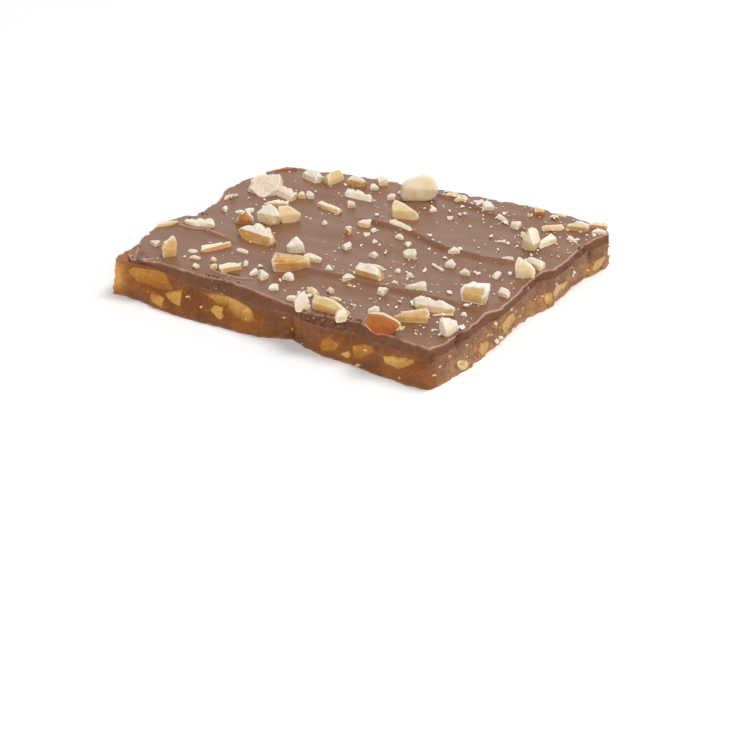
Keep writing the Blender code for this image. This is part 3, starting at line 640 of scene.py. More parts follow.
# The almonds in the breaks at the back and on the left are placed by a rule:
# on this share of the rim, so many, and of these outlines, sizes and tones.
HIDDEN_BREAKS = (0.56, 0.98)
HIDDEN_COUNT = 15
HIDDEN_SEED = 5
HIDDEN_SPACING = (0.2, 0.8)
HIDDEN_OUTLINES = ("husk", "dome", "plank", "chunk")
HIDDEN_LENGTH = (3.2, 8.0)
HIDDEN_REACH = (1.8, 3.0)
HIDDEN_HEIGHT = (0.8, 2.0)
HIDDEN_SLANT = (-14.0, 14.0)
HIDDEN_GOLDEN = (0.25, 0.31, 0.37, 0.43, 0.49, 0.55)
HIDDEN_FILM = (0.15, 0.25, 0.35, 0.45, 0.55)
COARSE_STATION = 2.9     # between points round the rim, where few of them do
BARED_DEPTH = 1.1        # how far an almond reaches into the glass
BARED_PROUD = 0.14       # how far its cut face stands out of it
BARED_ROUNDING = 0.75    # how much less it does so at its edges
BARED_EDGE = 0.34        # longest edge of its mesh
BARED_FLOOR = 0.3        # its clearance from the slab's underside
BARED_CEILING = 0.25     # and from the toffee's face
FOLLOWS = (0.6, 0.3)     # share of the glass's relief that it follows, and what crumbly glass adds
BARED_BUMPS = 0.09       # bumps and grain of the cut face, and their sizes
BARED_BUMP_SIZE = 1.3
BARED_GRAIN = 0.035
BARED_GRAIN_SIZE = 0.45
FILM_SIZE = 2.6          # size of the film's thick and thin places
CREEP_SIZE = 1.9         # and of those where it creeps in over the edge
HALO = 1.3               # how far an almond lights up the glass round it
RIGHT_BREAK = (0.5, 0.9)  # how far to +X a break looks when it starts to be the right one, and when it is
MARK_SIZE = 1.6          # size of the patches that break up the marks on the glass
FOOT_MARK = (0.55, 0.15)  # the painted highlight along the foot fades in between these heights
TIP_CLEAR = 7.0          # how far round the bare tip no chocolate is smeared
FACET = math.radians(7.0)  # faces that lie closer than this to one plane are one cut
RIDGE_ANGLES = (math.radians(38.0), math.radians(80.0))  # from no ridge at all to a sharp one
LEAST_RIDGE = 0.05       # a ridge less sharp than this isn't felt
RIM_REACH = 0.28         # how far a ridge is felt on the faces beside it
CUT_PALE = (0.74, 0.58, 0.30)
CUT_GOLDEN = (0.64, 0.36, 0.085)
CUT_BROWN = (0.50, 0.215, 0.036)
CUT_DARK = (0.36, 0.105, 0.014)
CUT_RIM = (0.78, 0.52, 0.20)
CUT_SPECK = (0.36, 0.155, 0.035)
CUT_PATCH = (0.40, 0.165, 0.032)
CUT_HOLLOW = (0.34, 0.140, 0.026)
CUT_BRIGHT = (0.80, 0.540, 0.200)
AMBER_FILM = (0.30, 0.100, 0.017)


def almond_piece(outline, length, reach, thick, lean, sink, seed):
    """A bmesh of one chopped piece.

    Its broad face looks towards -Y and leans back, steeper below its knee than
    above. Behind it comes a smaller back, and under z = 0 a foot.
    """
    foot_share, knee_share = OWN_FOOT_AND_KNEE.get(outline, (PIECE_FOOT, PIECE_KNEE))
    lean = math.radians(lean)
    lower = max(0.0, lean - math.radians(STEEPER))
    upper = lean + math.radians(FLATTER) * (lean > 0.0)
    knee = knee_share * reach
    inward = Vector((0.0, math.cos(lean), -math.sin(lean)))

    def face_point(along, up):
        below, above = min(up, knee), max(0.0, up - knee)
        return Vector((
            along,
            below * math.sin(lower) + above * math.sin(upper),
            below * math.cos(lower) + above * math.cos(upper)))

    def knee_points(corners):
        for (a0, r0), (a1, r1) in zip(corners, corners[1:] + corners[:1]):
            if (r0 - knee_share) * (r1 - knee_share) < 0.0:
                yield a0 + (a1 - a0) * (knee_share - r0) / (r1 - r0), knee_share

    bm = bmesh.new()
    draw = random.Random(seed)
    corners = OUTLINES[outline]
    if lean > 0.0:
        corners = corners + tuple(knee_points(corners))
    for along_share, up_share in corners:
        front = face_point(length * along_share, reach * up_share)
        front += Vector([draw.uniform(-CHOP_WANDER, CHOP_WANDER) for _ in range(3)])
        back = front + inward * thick
        back.x *= PIECE_BACK
        back.z = max(back.z, -sink)
        bm.verts.new(front)
        bm.verts.new(back)
        if sink:
            bm.verts.new((front.x * foot_share, front.y * foot_share, -sink))
    hull = bmesh.ops.convex_hull(bm, input=bm.verts[:])
    inner = [item for item in hull["geom_interior"] if isinstance(item, bmesh.types.BMVert)]
    bmesh.ops.delete(bm, geom=inner, context="VERTS")
    bmesh.ops.recalc_face_normals(bm, faces=bm.faces)
    return bm


def refined(bm, longest):
    """Split a piece's flat facets into small faces.

    Each face keeps its facet's direction, and each vertex how near it is to a
    sharp edge between two facets.
    """
    bmesh.ops.dissolve_limit(bm, angle_limit=FACET, verts=bm.verts, edges=bm.edges)
    ridges = [(edge.verts[0].co.copy(), edge.verts[1].co.copy(),
               smoothstep(*RIDGE_ANGLES, edge.calc_face_angle(0.0))) for edge in bm.edges]
    ridges = [ridge for ridge in ridges if ridge[2] > LEAST_RIDGE]
    facing = bm.faces.layers.float_vector.new("facing")
    for face in bm.faces:
        face[facing] = face.normal
    bmesh.ops.triangulate(bm, faces=bm.faces)
    while True:
        too_long = [edge for edge in bm.edges if edge.calc_length() > longest]
        if not too_long:
            break
        halve_edges(bm, too_long)
    rim = bm.verts.layers.float.new("rim")
    for vert in bm.verts:
        vert[rim] = max((sharpness * math.exp(-distance_to_segment(vert.co, start, end) / RIM_REACH)
                         for start, end, sharpness in ridges), default=0.0)


def distance_to_segment(point, start, end):
    """Distance from a point to a straight line between two others."""
    _, share = intersect_point_line(point, start, end)
    return (start.lerp(end, min(1.0, max(0.0, share))) - point).length


class Gathered:
    """Many small pieces gathered into one mesh, with numbers kept for it."""

    def __init__(self):
        self.bm = bmesh.new()
        self.on_verts = {}
        self.on_faces = {}

    def add(self, piece, vert_values, face_values):
        """Add a piece, with lists of numbers for its vertices and faces."""
        mesh = bpy.data.meshes.new("piece")
        piece.to_mesh(mesh)
        piece.free()
        self.bm.from_mesh(mesh)
        bpy.data.meshes.remove(mesh)
        for store, values in ((self.on_verts, vert_values), (self.on_faces, face_values)):
            for name, numbers in values.items():
                store.setdefault(name, []).extend(numbers)

    def object(self, name):
        """Turn what is gathered into an object, in metres."""
        bmesh.ops.scale(self.bm, vec=(MM, MM, MM), verts=self.bm.verts)
        obj = link(name, self.bm)
        write_marks(obj, self.on_verts)
        write_marks(obj, self.on_faces, "FACE")
        obj.data.shade_smooth()
        return obj


def bared_rows():
    """The almonds in all the breaks: the measured ones, then the rest by a rule."""
    draw = random.Random(HIDDEN_SEED)
    first, last = HIDDEN_BREAKS
    coarse = rim_stations(COARSE_STATION, 1)
    rows = list(BARED)
    for number in range(HIDDEN_COUNT):
        share = first + (last - first) * (number + draw.uniform(*HIDDEN_SPACING)) / HIDDEN_COUNT
        place = coarse[int(share * len(coarse))][0]
        rows.append((draw.choice(HIDDEN_OUTLINES), place.x, place.y, draw.uniform(*HIDDEN_HEIGHT),
                     draw.uniform(*HIDDEN_LENGTH), draw.uniform(*HIDDEN_REACH), draw.uniform(*HIDDEN_SLANT),
                     HIDDEN_GOLDEN[number % len(HIDDEN_GOLDEN)], HIDDEN_FILM[number % len(HIDDEN_FILM)], 0.0))
    return rows


def film_over(row, seed, point, along, edge, crumbly):
    """How far amber covers a point of a bared almond, from 0 to 1; round the edge of a golden cut face this
    is partly painted shade.
    """
    z, length, reach, slant, golden, film, fade = row[3:]
    hangs = abs(slant) > 90
    down = smoothstep(0.2, 0.9, (z - point.z) / max(reach, 1.0) if hangs else 0.5)
    cloud = 0.5 + 0.6 * noise.noise(point / FILM_SIZE + Vector((0, seed, 0)))
    patchy = smoothstep(-0.15, 0.35, noise.noise(point / CREEP_SIZE + Vector((seed, 9, 0))))
    creep = smoothstep(0.12, 0.70, edge) * patchy
    # amber round the edge of a golden cut face: partly a film, partly a painted shade line
    framed = smoothstep(0.20, 0.95, edge) * (golden > 0.2) * (1.0 - crumbly)
    covered = film * (0.15 + 1.5 * down) * (0.5 + cloud) + fade * along / abs(length)
    return min(1.0, max(0.0, covered + max(0.80 * creep, 0.75 * framed)))


def bared_almond(gathered, row, seed):
    """Add one almond in a break, its cut face flush with the glass."""
    outline, x, y, z, length, reach, slant, golden = row[:8]
    piece = almond_piece(outline, length, reach, BARED_DEPTH, 0.0, 0.0, seed)
    refined(piece, BARED_EDGE)
    rim = piece.verts.layers.float["rim"]
    foot = Vector((x, y, z))
    out = nearest_station(foot)[1]
    along = Vector((-out.y, out.x, 0.0))
    roll = Matrix.Rotation(-math.radians(slant), 3, "Y")
    values = {"golden": [], "rim": [], "film": []}
    for vert in piece.verts:
        depth = max(0.0, vert.co.y)
        flat = roll @ Vector((vert.co.x, 0.0, vert.co.z))
        place = foot + along * flat.x
        place.z = min(max(z + flat.z, BARED_FLOOR), toffee_face(x, y) - BARED_CEILING)
        station = nearest_station(place)
        surface = break_point(station, place.z, 0.0)
        crumbly = crumbliness(surface, station[1])
        follows = FOLLOWS[0] + FOLLOWS[1] * crumbly
        surface += station[1] * toffee_relief(station, surface, place.z) * follows
        sideways = Vector((-station[1].y, station[1].x))
        surface += sideways * (place.xy - surface).dot(sideways)
        edge = vert[rim]
        grain = BARED_BUMPS * noise.noise(place / BARED_BUMP_SIZE + Vector((seed, 0, 0)))
        grain += BARED_GRAIN * noise.noise(place / BARED_GRAIN_SIZE)
        proud = BARED_PROUD * (1.0 + crumbly - BARED_ROUNDING * edge) + (1.0 + 0.8 * crumbly) * grain
        vert.co = (surface + station[1] * (proud - depth)).to_3d()
        vert.co.z = place.z
        values["golden"].append(golden)
        values["rim"].append(edge)
        values["film"].append(film_over(row, seed, place, flat.x, edge, crumbly))
    gathered.add(piece, values, {})


def bared_finish():
    """Golden cut almond under a thin film of amber."""
    finish = Finish("bared_almond", Subsurface_Weight=0.20, Subsurface_Scale=0.0010,
                    Subsurface_Radius=(1.0, 0.6, 0.25), Specular_IOR_Level=0.2)
    golden, rim, film = (finish.attribute(name) for name in ("golden", "rim", "film"))
    patches = finish.use(MOTTLE, Patch_Size=0.0018, Contrast=1.8)
    specks = finish.use(MOTTLE, Patch_Size=0.00045, Contrast=2.2)
    flakes = finish.use(MOTTLE, flatten=1.6, Patch_Size=0.0011, Contrast=2.6)
    tone = finish.calculate("MULTIPLY_ADD", finish.calculate("SUBTRACT", patches, 0.5), 0.32, golden)
    nut = finish.ramp(tone, (0.0, CUT_PALE), (0.30, CUT_GOLDEN), (0.55, CUT_BROWN), (1.0, CUT_DARK))
    nut = finish.mix(finish.calculate("MULTIPLY", rim, 0.15), nut, CUT_RIM)
    nut = finish.mix(finish.between(specks, 0.55, 1.0, 0.0, 0.45), nut, CUT_SPECK)
    nut = finish.mix(finish.between(patches, 0.60, 0.95, 0.0, 0.45), nut, CUT_PATCH)
    nut = finish.mix(finish.between(flakes, 0.62, 0.95, 0.0, 0.40), nut, CUT_HOLLOW)
    nut = finish.mix(finish.between(flakes, 0.34, 0.05, 0.0, 0.40), nut, CUT_BRIGHT)
    finish.colour(finish.mix(film, nut, AMBER_FILM))
    finish.roughness(finish.between(specks, 0.0, 1.0, 0.42, 0.62))
    finish.bump(finish.use(GRAIN, Grain_Size=0.0008, Depth=0.00034))
    return finish.material


def mark_glass(glass, almonds):
    """Mark how the glass takes its painted light and its colour from what is in and on it, with a painted
    highlight along its foot and painted shade in its pits.
    """
    marks = {"glow": [], "halo": [], "crumbly": [], "lip": [], "smear": [], "pit_shade": []}
    for vert in glass.data.vertices:
        point = vert.co / MM
        normal = nearest_station(point)[1]
        right_side = smoothstep(*RIGHT_BREAK, normal.x)
        cloud = noise.noise(point / MARK_SIZE)
        below = toffee_face(point.x, point.y) - point.z - (0.5 + 1.6 * right_side) * cloud
        smear = smoothstep(1.3 + 1.9 * right_side, 0.4 * right_side - 0.1, below)
        marks["glow"].append(glow_at(point))
        marks["halo"].append(math.exp(-almonds.find_nearest(point)[3] / HALO))
        marks["crumbly"].append(crumbliness(point.xy, normal))
        # painted highlight along the foot
        marks["lip"].append(smoothstep(*FOOT_MARK, point.z) * (0.6 + 0.8 * cloud))
        marks["smear"].append(smear * (1.0 - near_tip(point.xy, TIP_CLEAR)))
        # painted shade in the pits
        marks["pit_shade"].append(pit_share(point))
    write_marks(glass, marks)


bared = Gathered()
for number, row in enumerate(bared_rows()):
    bared_almond(bared, row, BARED_SEED + number)
bared_tree = BVHTree.FromBMesh(bared.bm)
bared_almonds = bared.object("bared_almonds")
dress(bared_almonds, bared_finish(), "toffee")

mark_glass(toffee, bared_tree)
dress(toffee, toffee_finish(), "toffee")

# ---- the chocolate coat ----
# Melted milk chocolate spread on the warm toffee with a spatula, which left
# overlapping strokes with a raised lip, and snapped with it. Its broken side
# is duller and redder than its face, with a thin painted highlight along the
# edge and painted shade in its cracks and hollows.

TOP_WAVE = 0.22          # how far its face rises and falls
TOP_WAVE_PLACE = 9.0
# Ridges between the spatula's strokes: height and the points they run through.
RIDGES = (
    (0.45, ((-42.1, -16.4), (-34.1, -14.4), (-23.1, -16.4))),
    (0.60, ((-8.1, 10.4), (4.9, 9.8), (15.9, 6.7), (25.9, 7.0), (32.9, 9.4))),
    (0.50, ((-4.1, -19.4), (7.9, -18.3), (21.9, -17.3), (33.9, -15.5), (41.9, -16.8))),
    (0.40, ((-5.1, 31.8), (3.9, 30.7), (12.9, 28.6), (25.9, 24.8))),
)
RIDGE_FRONT = 1.3        # how fast a ridge falls away in front
RIDGE_BACK = 6.5         # and behind
RIDGE_FADE = 4.0         # how far its ends run out
LIP_HEIGHT = 0.34        # lip along a ridge, as shares of its height, and the groove before it
LIP_PLACE = 0.1
LIP_HALF = 0.50
GROOVE_DEPTH = 0.42
GROOVE_PLACE = -1.5
GROOVE_HALF = 1.05
LIP_WANDER = 0.7         # how far they wander off the ridge, and over what length
LIP_WANDER_LENGTH = 5.0
LIP_SWELL = 0.9          # how much stronger they are in places, and over what length
LIP_SWELL_LENGTH = 4.0
# The spatula's strokes, broad ones to fine ones: height, length, width and
# place in the noise. How they bend, and the dimples, are put down likewise.
STROKES = ((0.24, 21.0, 9.0, 77.0), (0.15, 26.0, 4.2, 12.0), (0.008, 14.0, 1.2, 15.0))
STROKE_BEND = (2.2, 23.0, 23.0, 3.0)
DIMPLES = (0.035, 4.4, 3.6, 40.0)
COAT_CELL = 0.55         # width of the faces of its upper face
COAT_BELOW = 4.6         # its broken side is made from here
COAT_HEIGHT = 5.4
COAT_SIDE_LEVELS = 24
FINER_REACHES = (0.9, 0.35)  # round the rim, where the faces are made smaller
FACE_DEPTH = 1.5         # what lies deeper than this isn't the upper face
FOLD_MARGIN = 0.35       # the faces by a fold are smaller too, this far beyond it
FOLD_FELT = 0.1          # and as long as this share of it is felt
FOLD_REACH = (12.0, 8.0)  # a fold isn't felt further than this from its first point
# Relief of the snapped side: height and width of its bumps.
SNAPPED = ((0.07, 1.9), (0.025, 0.6))
SNAPPED_ROUGH = ((0.34, 1.2), (0.16, 0.5))  # where it crumbled
ROUGH_PLACE = (0.0, 0.0, 9.0)
ROUGH_BACK = 0.14        # how far a crumbled place lies back
NOTCH_DEPTH = 0.9        # notches on the ragged breaks at the back and on the left
NOTCH_SIZE = 2.4
NOTCH_BUMPS = (0.22, 0.8)
SIDE_TILT = (0.9, 0.5)   # how far up a face looks on the top, and on the broken side
SIDE_REACH = (1.6, 0.8)  # how far in from the rim it lies, likewise
LINE_LIGHT = 0.60        # strength of the painted highlight along the edge
LINE_LIGHT_RIGHT = 0.35  # how much more there is on the right
LINE_PATCHES = 0.5       # and how much it changes from patch to patch
LINE_PATCH = 1.4
FOLD_LIGHT = 0.9
RIM_LINE = 0.24          # half width of the painted highlight along the broken edge
# Thin lips and cracks that the snapping left in the face: height, half width
# and the points that they run through.
FOLDS = (
    (0.45, 0.30, ((-33.6, -37.0), (-35.6, -33.6), (-36.8, -31.6))),
    (0.40, 0.28, ((-33.6, -36.6), (-32.0, -35.0), (-30.7, -34.3))),
    (0.22, 0.28, ((-36.8, -31.6), (-38.8, -30.6))),
    (-0.22, 1.10, ((-34.2, -35.2), (-34.6, -33.6))),
    (-0.50, 0.45, ((-17.0, -29.8), (-14.2, -30.4), (-11.2, -30.2))),
    (0.30, 0.28, ((-17.4, -31.0), (-14.0, -31.6), (-9.6, -31.2), (-7.2, -30.0))),
    (0.25, 0.24, ((-19.0, -29.6), (-17.4, -28.2), (-15.6, -28.4))),
    (0.14, 0.24, ((-38.3, -16.0), (-34.6, -15.4), (-31.5, -14.5), (-26.1, -15.7), (-22.2, -16.4))),
)
# Places where the snapped edge crumbled: x, y and how far that reaches.
CRUMBLED = ((12.5, -36.5, 3.6), (17.5, -36.0, 3.8), (22.5, -35.6, 3.2), (-13.5, -33.5, 4.0),
            (-32.5, -36.5, 2.0), (-37.6, -7.9, 4.0), (39.5, 25.0, 2.4), (41.5, 4.0, 2.6), (43.4, -27.0, 2.2))
FACE_DARK = (0.205, 0.092, 0.046)
FACE_LIGHT = (0.250, 0.116, 0.060)
FACE_SPECK = (0.29, 0.145, 0.085)
SNAPPED_DARK = (0.150, 0.056, 0.025)
SNAPPED_LIGHT = (0.215, 0.090, 0.045)
HOLLOW_SHADE = (0.085, 0.033, 0.017)
EDGE_HIGHLIGHT = (0.56, 0.34, 0.245)


def crest_offset(points, x):
    """Y of a ridge's crest at x, on straight runs between its points."""
    for (x0, y0), (x1, y1) in zip(points, points[1:]):
        if x <= x1:
            return y0 + (y1 - y0) * max(0.0, x - x0) / (x1 - x0)
    return points[-1][1]


def ridge_fade(points, x):
    """How far a ridge has come up at x, from 0 beyond its ends to 1 between them."""
    start, end = points[0][0], points[-1][0]
    rise = smoothstep(start - RIDGE_FADE, start + RIDGE_FADE, x)
    return rise * smoothstep(end + RIDGE_FADE, end - RIDGE_FADE, x)


def ridge_height(x, y):
    """Height that the spatula's ridges add at a place."""
    total = 0.0
    for height, points in RIDGES:
        run = y - crest_offset(points, x)
        slope = math.exp(-run / RIDGE_BACK) if run > 0.0 else math.exp(run / RIDGE_FRONT)
        total += height * ridge_fade(points, x) * slope
    return total


def lip_height(x, y):
    """What sharpens a ridge: a lip along its crest and a groove at its foot."""
    total = 0.0
    for height, points in RIDGES:
        wander = LIP_WANDER * noise.noise(Vector((x / LIP_WANDER_LENGTH, height, 50.0)))
        run = y - crest_offset(points, x) + wander
        strength = 0.75 + LIP_SWELL * noise.noise(Vector((x / LIP_SWELL_LENGTH, height, 54.0)))
        lip = math.exp(-((run - LIP_PLACE) / LIP_HALF) ** 2)
        groove = math.exp(-((run - GROOVE_PLACE) / GROOVE_HALF) ** 2)
        total += height * ridge_fade(points, x) * strength * (LIP_HEIGHT * lip - GROOVE_DEPTH * groove)
    return total


def chocolate_face(x, y):
    """Height of the chocolate's upper face, as the solid has it."""
    return SLAB_TOP + TOP_WAVE * swell(x, y, TOP_WAVE_PLACE) + ridge_height(x, y)


def by_fold(x, y, points):
    """Whether a place is near enough to feel a fold."""
    return abs(points[0][0] - x) < FOLD_REACH[0] and abs(points[0][1] - y) < FOLD_REACH[1]


def fold_share(x, y, half_width, points):
    """How near a place is to a fold, from 0 to 1."""
    place = Vector((x, y, 0.0))
    near = min(distance_to_segment(place, Vector((*start, 0.0)), Vector((*end, 0.0)))
               for start, end in zip(points, points[1:]))
    return math.exp(-(near / half_width) ** 2)


def stroke(x, y, rise, along, across, place):
    """Height that strokes of one size add at a place."""
    return rise * noise.noise(Vector((x / along, y / across, place)))


def spread_face(x, y):
    """The same face with the spatula's fine strokes, which run along X, and the folds."""
    bend = stroke(x, y, *STROKE_BEND)
    height = chocolate_face(x, y) + lip_height(x, y)
    height += sum(stroke(x, y + bend, *row) for row in STROKES) + stroke(x, y, *DIMPLES)
    for rise, half_width, points in FOLDS:
        if by_fold(x, y, points):
            height += rise * fold_share(x, y, half_width, points)
    return height


def crumbled(place):
    """How crumbled the snapped chocolate is, from 0 to 1."""
    return min(1.0, sum(math.exp(-((place.x - x) ** 2 + (place.y - y) ** 2) / reach ** 2)
                        for x, y, reach in CRUMBLED))


def bumps(point, height, width, shift=(0.0, 0.0, 0.0)):
    """Bumps of one size, outward positive."""
    return height * noise.noise(point / width + Vector(shift))


def coat_relief(station, place, z):
    """Small flakes and steps of the snapped chocolate, outward positive."""
    point = Vector((place.x, place.y, z))
    large, small = SNAPPED_ROUGH
    smooth = sum(bumps(point, *row) for row in SNAPPED)
    rough = bumps(point, *large, ROUGH_PLACE) + bumps(point, *small) - ROUGH_BACK
    ragged = smoothstep(0.1, 0.8, station[1].y) + smoothstep(0.5, 0.9, -station[1].x)
    notch = -NOTCH_DEPTH * smoothstep(0.0, 0.5, noise.noise(point / NOTCH_SIZE)) + bumps(point, *NOTCH_BUMPS)
    return smooth + crumbled(place) * rough + min(1.0, ragged) * notch - pit_depth(point)


def refine_folds(bm):
    """Give the sheet smaller faces where the folds and the rim are."""
    for reach in FINER_REACHES:
        near = set()
        for edge in bm.edges:
            middle = (edge.verts[0].co + edge.verts[1].co) / 2.0
            station = nearest_station(middle)
            from_rim = abs((station[0] - middle.xy).dot(station[1]) - station[3])
            if from_rim < reach and middle.z > SLAB_TOP - FACE_DEPTH:
                near.add(edge)
            for _, half_width, points in FOLDS:
                wide = half_width + FOLD_MARGIN
                if by_fold(*middle.xy, points) and fold_share(*middle.xy, wide, points) > FOLD_FELT:
                    near.add(edge)
        halve_edges(bm, list(near))
    for vert in bm.verts:
        if vert.normal.z > 0.0:
            vert.co.z = spread_face(vert.co.x, vert.co.y)
    return bm


def chocolate_finish():
    """Satin milk chocolate, redder and duller where it broke, with a painted highlight along the edge and
    painted shade in its hollows.
    """
    finish = Finish("milk_chocolate", Subsurface_Weight=0.08, Subsurface_Scale=0.0012,
                    Subsurface_Radius=(1.0, 0.55, 0.35), Specular_IOR_Level=0.22)
    edge, broken, dark = (finish.attribute(name) for name in ("edge", "broken", "dark"))
    patches = finish.use(MOTTLE, Patch_Size=0.011, Contrast=1.6)
    fine = finish.use(MOTTLE, Patch_Size=0.0009, Contrast=1.6)
    face = finish.ramp(patches, (0.1, FACE_DARK), (0.9, FACE_LIGHT))
    face = finish.mix(finish.between(fine, 0.45, 1.0, 0.0, 0.12), face, FACE_SPECK)
    side = finish.ramp(fine, (0.1, SNAPPED_DARK), (0.9, SNAPPED_LIGHT))
    body = finish.mix(broken, face, side)
    # painted shade in the cracks, pits and crumbled hollows of the broken side
    body = finish.mix(finish.calculate("MULTIPLY", dark, 0.65), body, HOLLOW_SHADE)
    # painted highlight along the snapped edge and on raised folds
    finish.colour(finish.mix(edge, body, EDGE_HIGHLIGHT))
    rough = finish.calculate("MULTIPLY_ADD", broken, 0.34, 0.30)
    finish.roughness(finish.calculate("MULTIPLY_ADD", fine, 0.10, rough))
    finish.bump(finish.use(GRAIN, Grain_Size=0.0007, Depth=0.00003))
    return finish.material


def coat_marks(obj, stations):
    """Mark the coat's broken side, the painted highlight along its edge and on its folds, and the painted
    shade in its cracks, pits and crumbled parts.
    """
    tree = KDTree(len(stations))
    for index, station in enumerate(stations):
        tree.insert(break_point(station, SLAB_TOP, station[3]).to_3d(), index)
    tree.balance()
    marks = {"edge": [], "broken": [], "dark": []}
    for vert in obj.data.vertices:
        x, y, z = vert.co / MM
        near, index, _ = tree.find((x, y, 0.0))
        outward = stations[index][1]
        inward = (Vector((x, y)) - near.xy).dot(-outward)
        down = spread_face(x, y) - z
        is_side = smoothstep(*SIDE_TILT, vert.normal.z) * smoothstep(*SIDE_REACH, inward)
        # The painted highlight along the edge, brighter on the right and in patches.
        reach = math.hypot(max(0.0, inward) * (1.0 - is_side), max(0.0, down)) / RIM_LINE
        patch = LINE_PATCHES * noise.noise(Vector((x, y, 2.0)) / LINE_PATCH)
        light = (LINE_LIGHT + LINE_LIGHT_RIGHT * max(0.0, outward.x) + patch) * math.exp(-reach * reach)
        pit_shade = 0.0
        # Raised folds take the painted highlight; cracks take painted shade.
        for rise, half_width, points in FOLDS:
            if by_fold(x, y, points) and down < 0.5:
                share = fold_share(x, y, half_width, points)
                light = max(light, FOLD_LIGHT * share * (rise > 0.0))
                pit_shade = max(pit_shade, share * min(1.0, max(0.0, -2.0 * rise)))
        # painted shade in patches where the side crumbled
        crumb = crumbled(Vector((x, y))) * is_side
        crumb *= smoothstep(-0.35, 0.35, noise.noise(Vector((x, y, z)) / 0.8))
        marks["edge"].append(min(1.0, max(0.0, light)) * (1.0 - 0.7 * pit_shade))
        marks["broken"].append(is_side)
        marks["dark"].append(min(1.0, max(0.8 * crumb, pit_shade, pit_share(Vector((x, y, z))))))
    write_marks(obj, marks)


coat_levels = [COAT_BELOW + COAT_HEIGHT * step / COAT_SIDE_LEVELS for step in range(COAT_SIDE_LEVELS + 1)]
coat = broken_layer(
    "chocolate_coat",
    refine_folds(layer(toffee_face, spread_face, COAT_CELL)),
    side_block(fine_stations, coat_levels, True, coat_relief))
coat_marks(coat, fine_stations)
chocolate_material = chocolate_finish()
dress(coat, chocolate_material, "chocolate")
